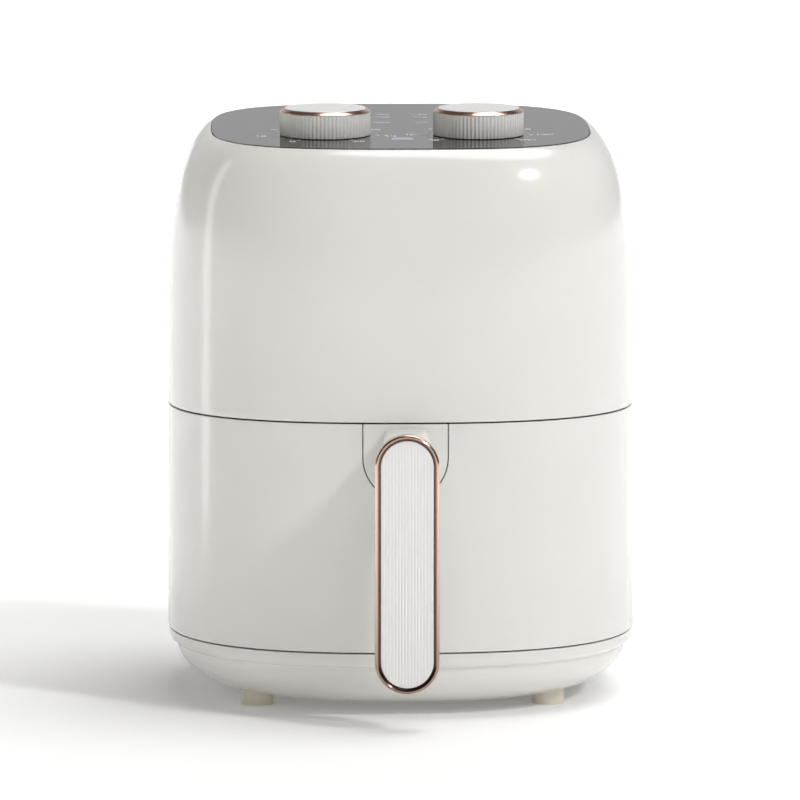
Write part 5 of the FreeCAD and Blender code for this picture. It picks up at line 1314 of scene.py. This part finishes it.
def lamp(name, kind, place, strength):
    """A light at a place that looks at the origin."""
    data = bpy.data.lights.new(name, kind)
    data.energy = strength
    obj = bpy.data.objects.new(name, data)
    bpy.context.scene.collection.objects.link(obj)
    obj.location = place
    obj.rotation_euler = place.to_track_quat("Z", "Y").to_euler()
    return obj


def room_light(stage):
    """Room whose light changes with direction: dim and warm at the left, paler at the right, dark
    overhead but for one bright panel that leans to the right."""
    world = bpy.data.worlds.new("room")
    world.use_nodes = True
    tree = world.node_tree
    back = tree.nodes["Background"]
    back.inputs["Strength"].default_value = stage.room
    split = add(tree, "SeparateXYZ")
    tree.links.new(add(tree, "TexCoord").outputs["Generated"], split.inputs["Vector"])
    sides = ramp_of(tree, split.outputs["X"], (-1.0, 1.0), [
        (0.0, (0.22, 0.21, 0.18)), (0.09, (0.22, 0.21, 0.18)), (0.16, (0.62, 0.60, 0.55)),
        (0.42, (1.0, 1.0, 1.0)), (0.6, (1.0, 1.0, 1.0)), (0.8, (0.4, 0.4, 0.43)), (1.0, (0.12, 0.12, 0.14))])
    heights = ramp_of(tree, split.outputs["Z"], (0.0, 1.0), [
        (0.0, (1.0, 1.0, 1.0)), (0.45, (1.0, 1.0, 1.0)), (0.6, (0.25, 0.24, 0.23)), (0.92, (0.2, 0.19, 0.18)),
        (1.0, (0.3, 0.29, 0.28))])
    lean = add(tree, "VectorMath", operation="DOT_PRODUCT")
    lean.inputs[1].default_value = (0.26, 0.1, 0.96)
    tree.links.new(split.inputs["Vector"].links[0].from_socket, lean.inputs[0])
    patch = ramp_of(tree, lean.outputs["Value"], (0.9, 1.0), [
        (0.0, (0.0, 0.0, 0.0)), (0.3, (0.0, 0.0, 0.0)), (0.42, (8.0, 8.0, 8.0)), (1.0, (8.0, 8.0, 8.0))])
    both = add(tree, "Mix", data_type="RGBA", blend_type="ADD")
    both.inputs["Factor"].default_value = 1.0
    tree.links.new(multiply(tree, sides, heights), both.inputs[6])
    tree.links.new(patch, both.inputs[7])
    tree.links.new(both.outputs[2], back.inputs["Color"])
    return world


def ramp_of(tree, source, span, stops):
    """A colour that changes through stops as a number goes over a span."""
    scale = add(tree, "MapRange")
    scale.inputs["From Min"].default_value, scale.inputs["From Max"].default_value = span
    tree.links.new(source, scale.inputs["Value"])
    ramp = tree.nodes.new("ShaderNodeValToRGB")
    for k, (place, rgb) in enumerate(stops):
        stop = ramp.color_ramp.elements[k] if k < 2 else ramp.color_ramp.elements.new(place)
        stop.position, stop.color = place, (*rgb, 1.0)
    tree.links.new(scale.outputs["Result"], ramp.inputs["Fac"])
    return ramp.outputs["Color"]


# ---------------------------------------------------------------- panel and registration

OPERATORS = (FRYER_OT_finishes, FRYER_OT_upper_shell, FRYER_OT_drawer_front, FRYER_OT_handle_plate,
             FRYER_OT_rear_shell, FRYER_OT_base_tray, FRYER_OT_knobs, FRYER_OT_handle, FRYER_OT_vent,
             FRYER_OT_panel_marks, FRYER_OT_stage)
GROUPS = {"fryer_body": FryerBodySizes, "fryer_tray": FryerTraySizes, "fryer_knob": FryerKnobSizes,
          "fryer_handle": FryerHandleSizes, "fryer_vent": FryerVentSizes, "fryer_marks": FryerMarkSizes,
          "fryer_colours": FryerColours, "fryer_stage": FryerStageSizes}


class FRYER_PT_panel(bpy.types.Panel):
    """Lists the air fryer's pieces"""
    bl_idname = "FRYER_PT_panel"
    bl_label = "Air fryer"
    bl_space_type = "VIEW_3D"
    bl_region_type = "UI"
    bl_category = "Air fryer"

    def draw(self, context):
        for operator in OPERATORS:
            self.layout.operator(operator.bl_idname)
        for name in GROUPS:
            box = self.layout.box()
            for prop in GROUPS[name].__annotations__:
                box.prop(getattr(context.scene, name), prop)


def register():
    """Registers the groups, operators and panel."""
    for cls in (*GROUPS.values(), *OPERATORS, FRYER_PT_panel):
        bpy.utils.register_class(cls)
    for name, group in GROUPS.items():
        setattr(bpy.types.Scene, name, PointerProperty(type=group))


def unregister():
    """Takes everything registered away again."""
    for name in GROUPS:
        delattr(bpy.types.Scene, name)
    for cls in reversed((*GROUPS.values(), *OPERATORS, FRYER_PT_panel)):
        bpy.utils.unregister_class(cls)


def main():
    """Runs every operator in turn."""
    register()
    for operator in OPERATORS:
        group, name = operator.bl_idname.split(".")
        if getattr(getattr(bpy.ops, group), name)() != {"FINISHED"}:
            raise RuntimeError(f"{operator.bl_label} did not finish")


if __name__ == "__main__":
    main()
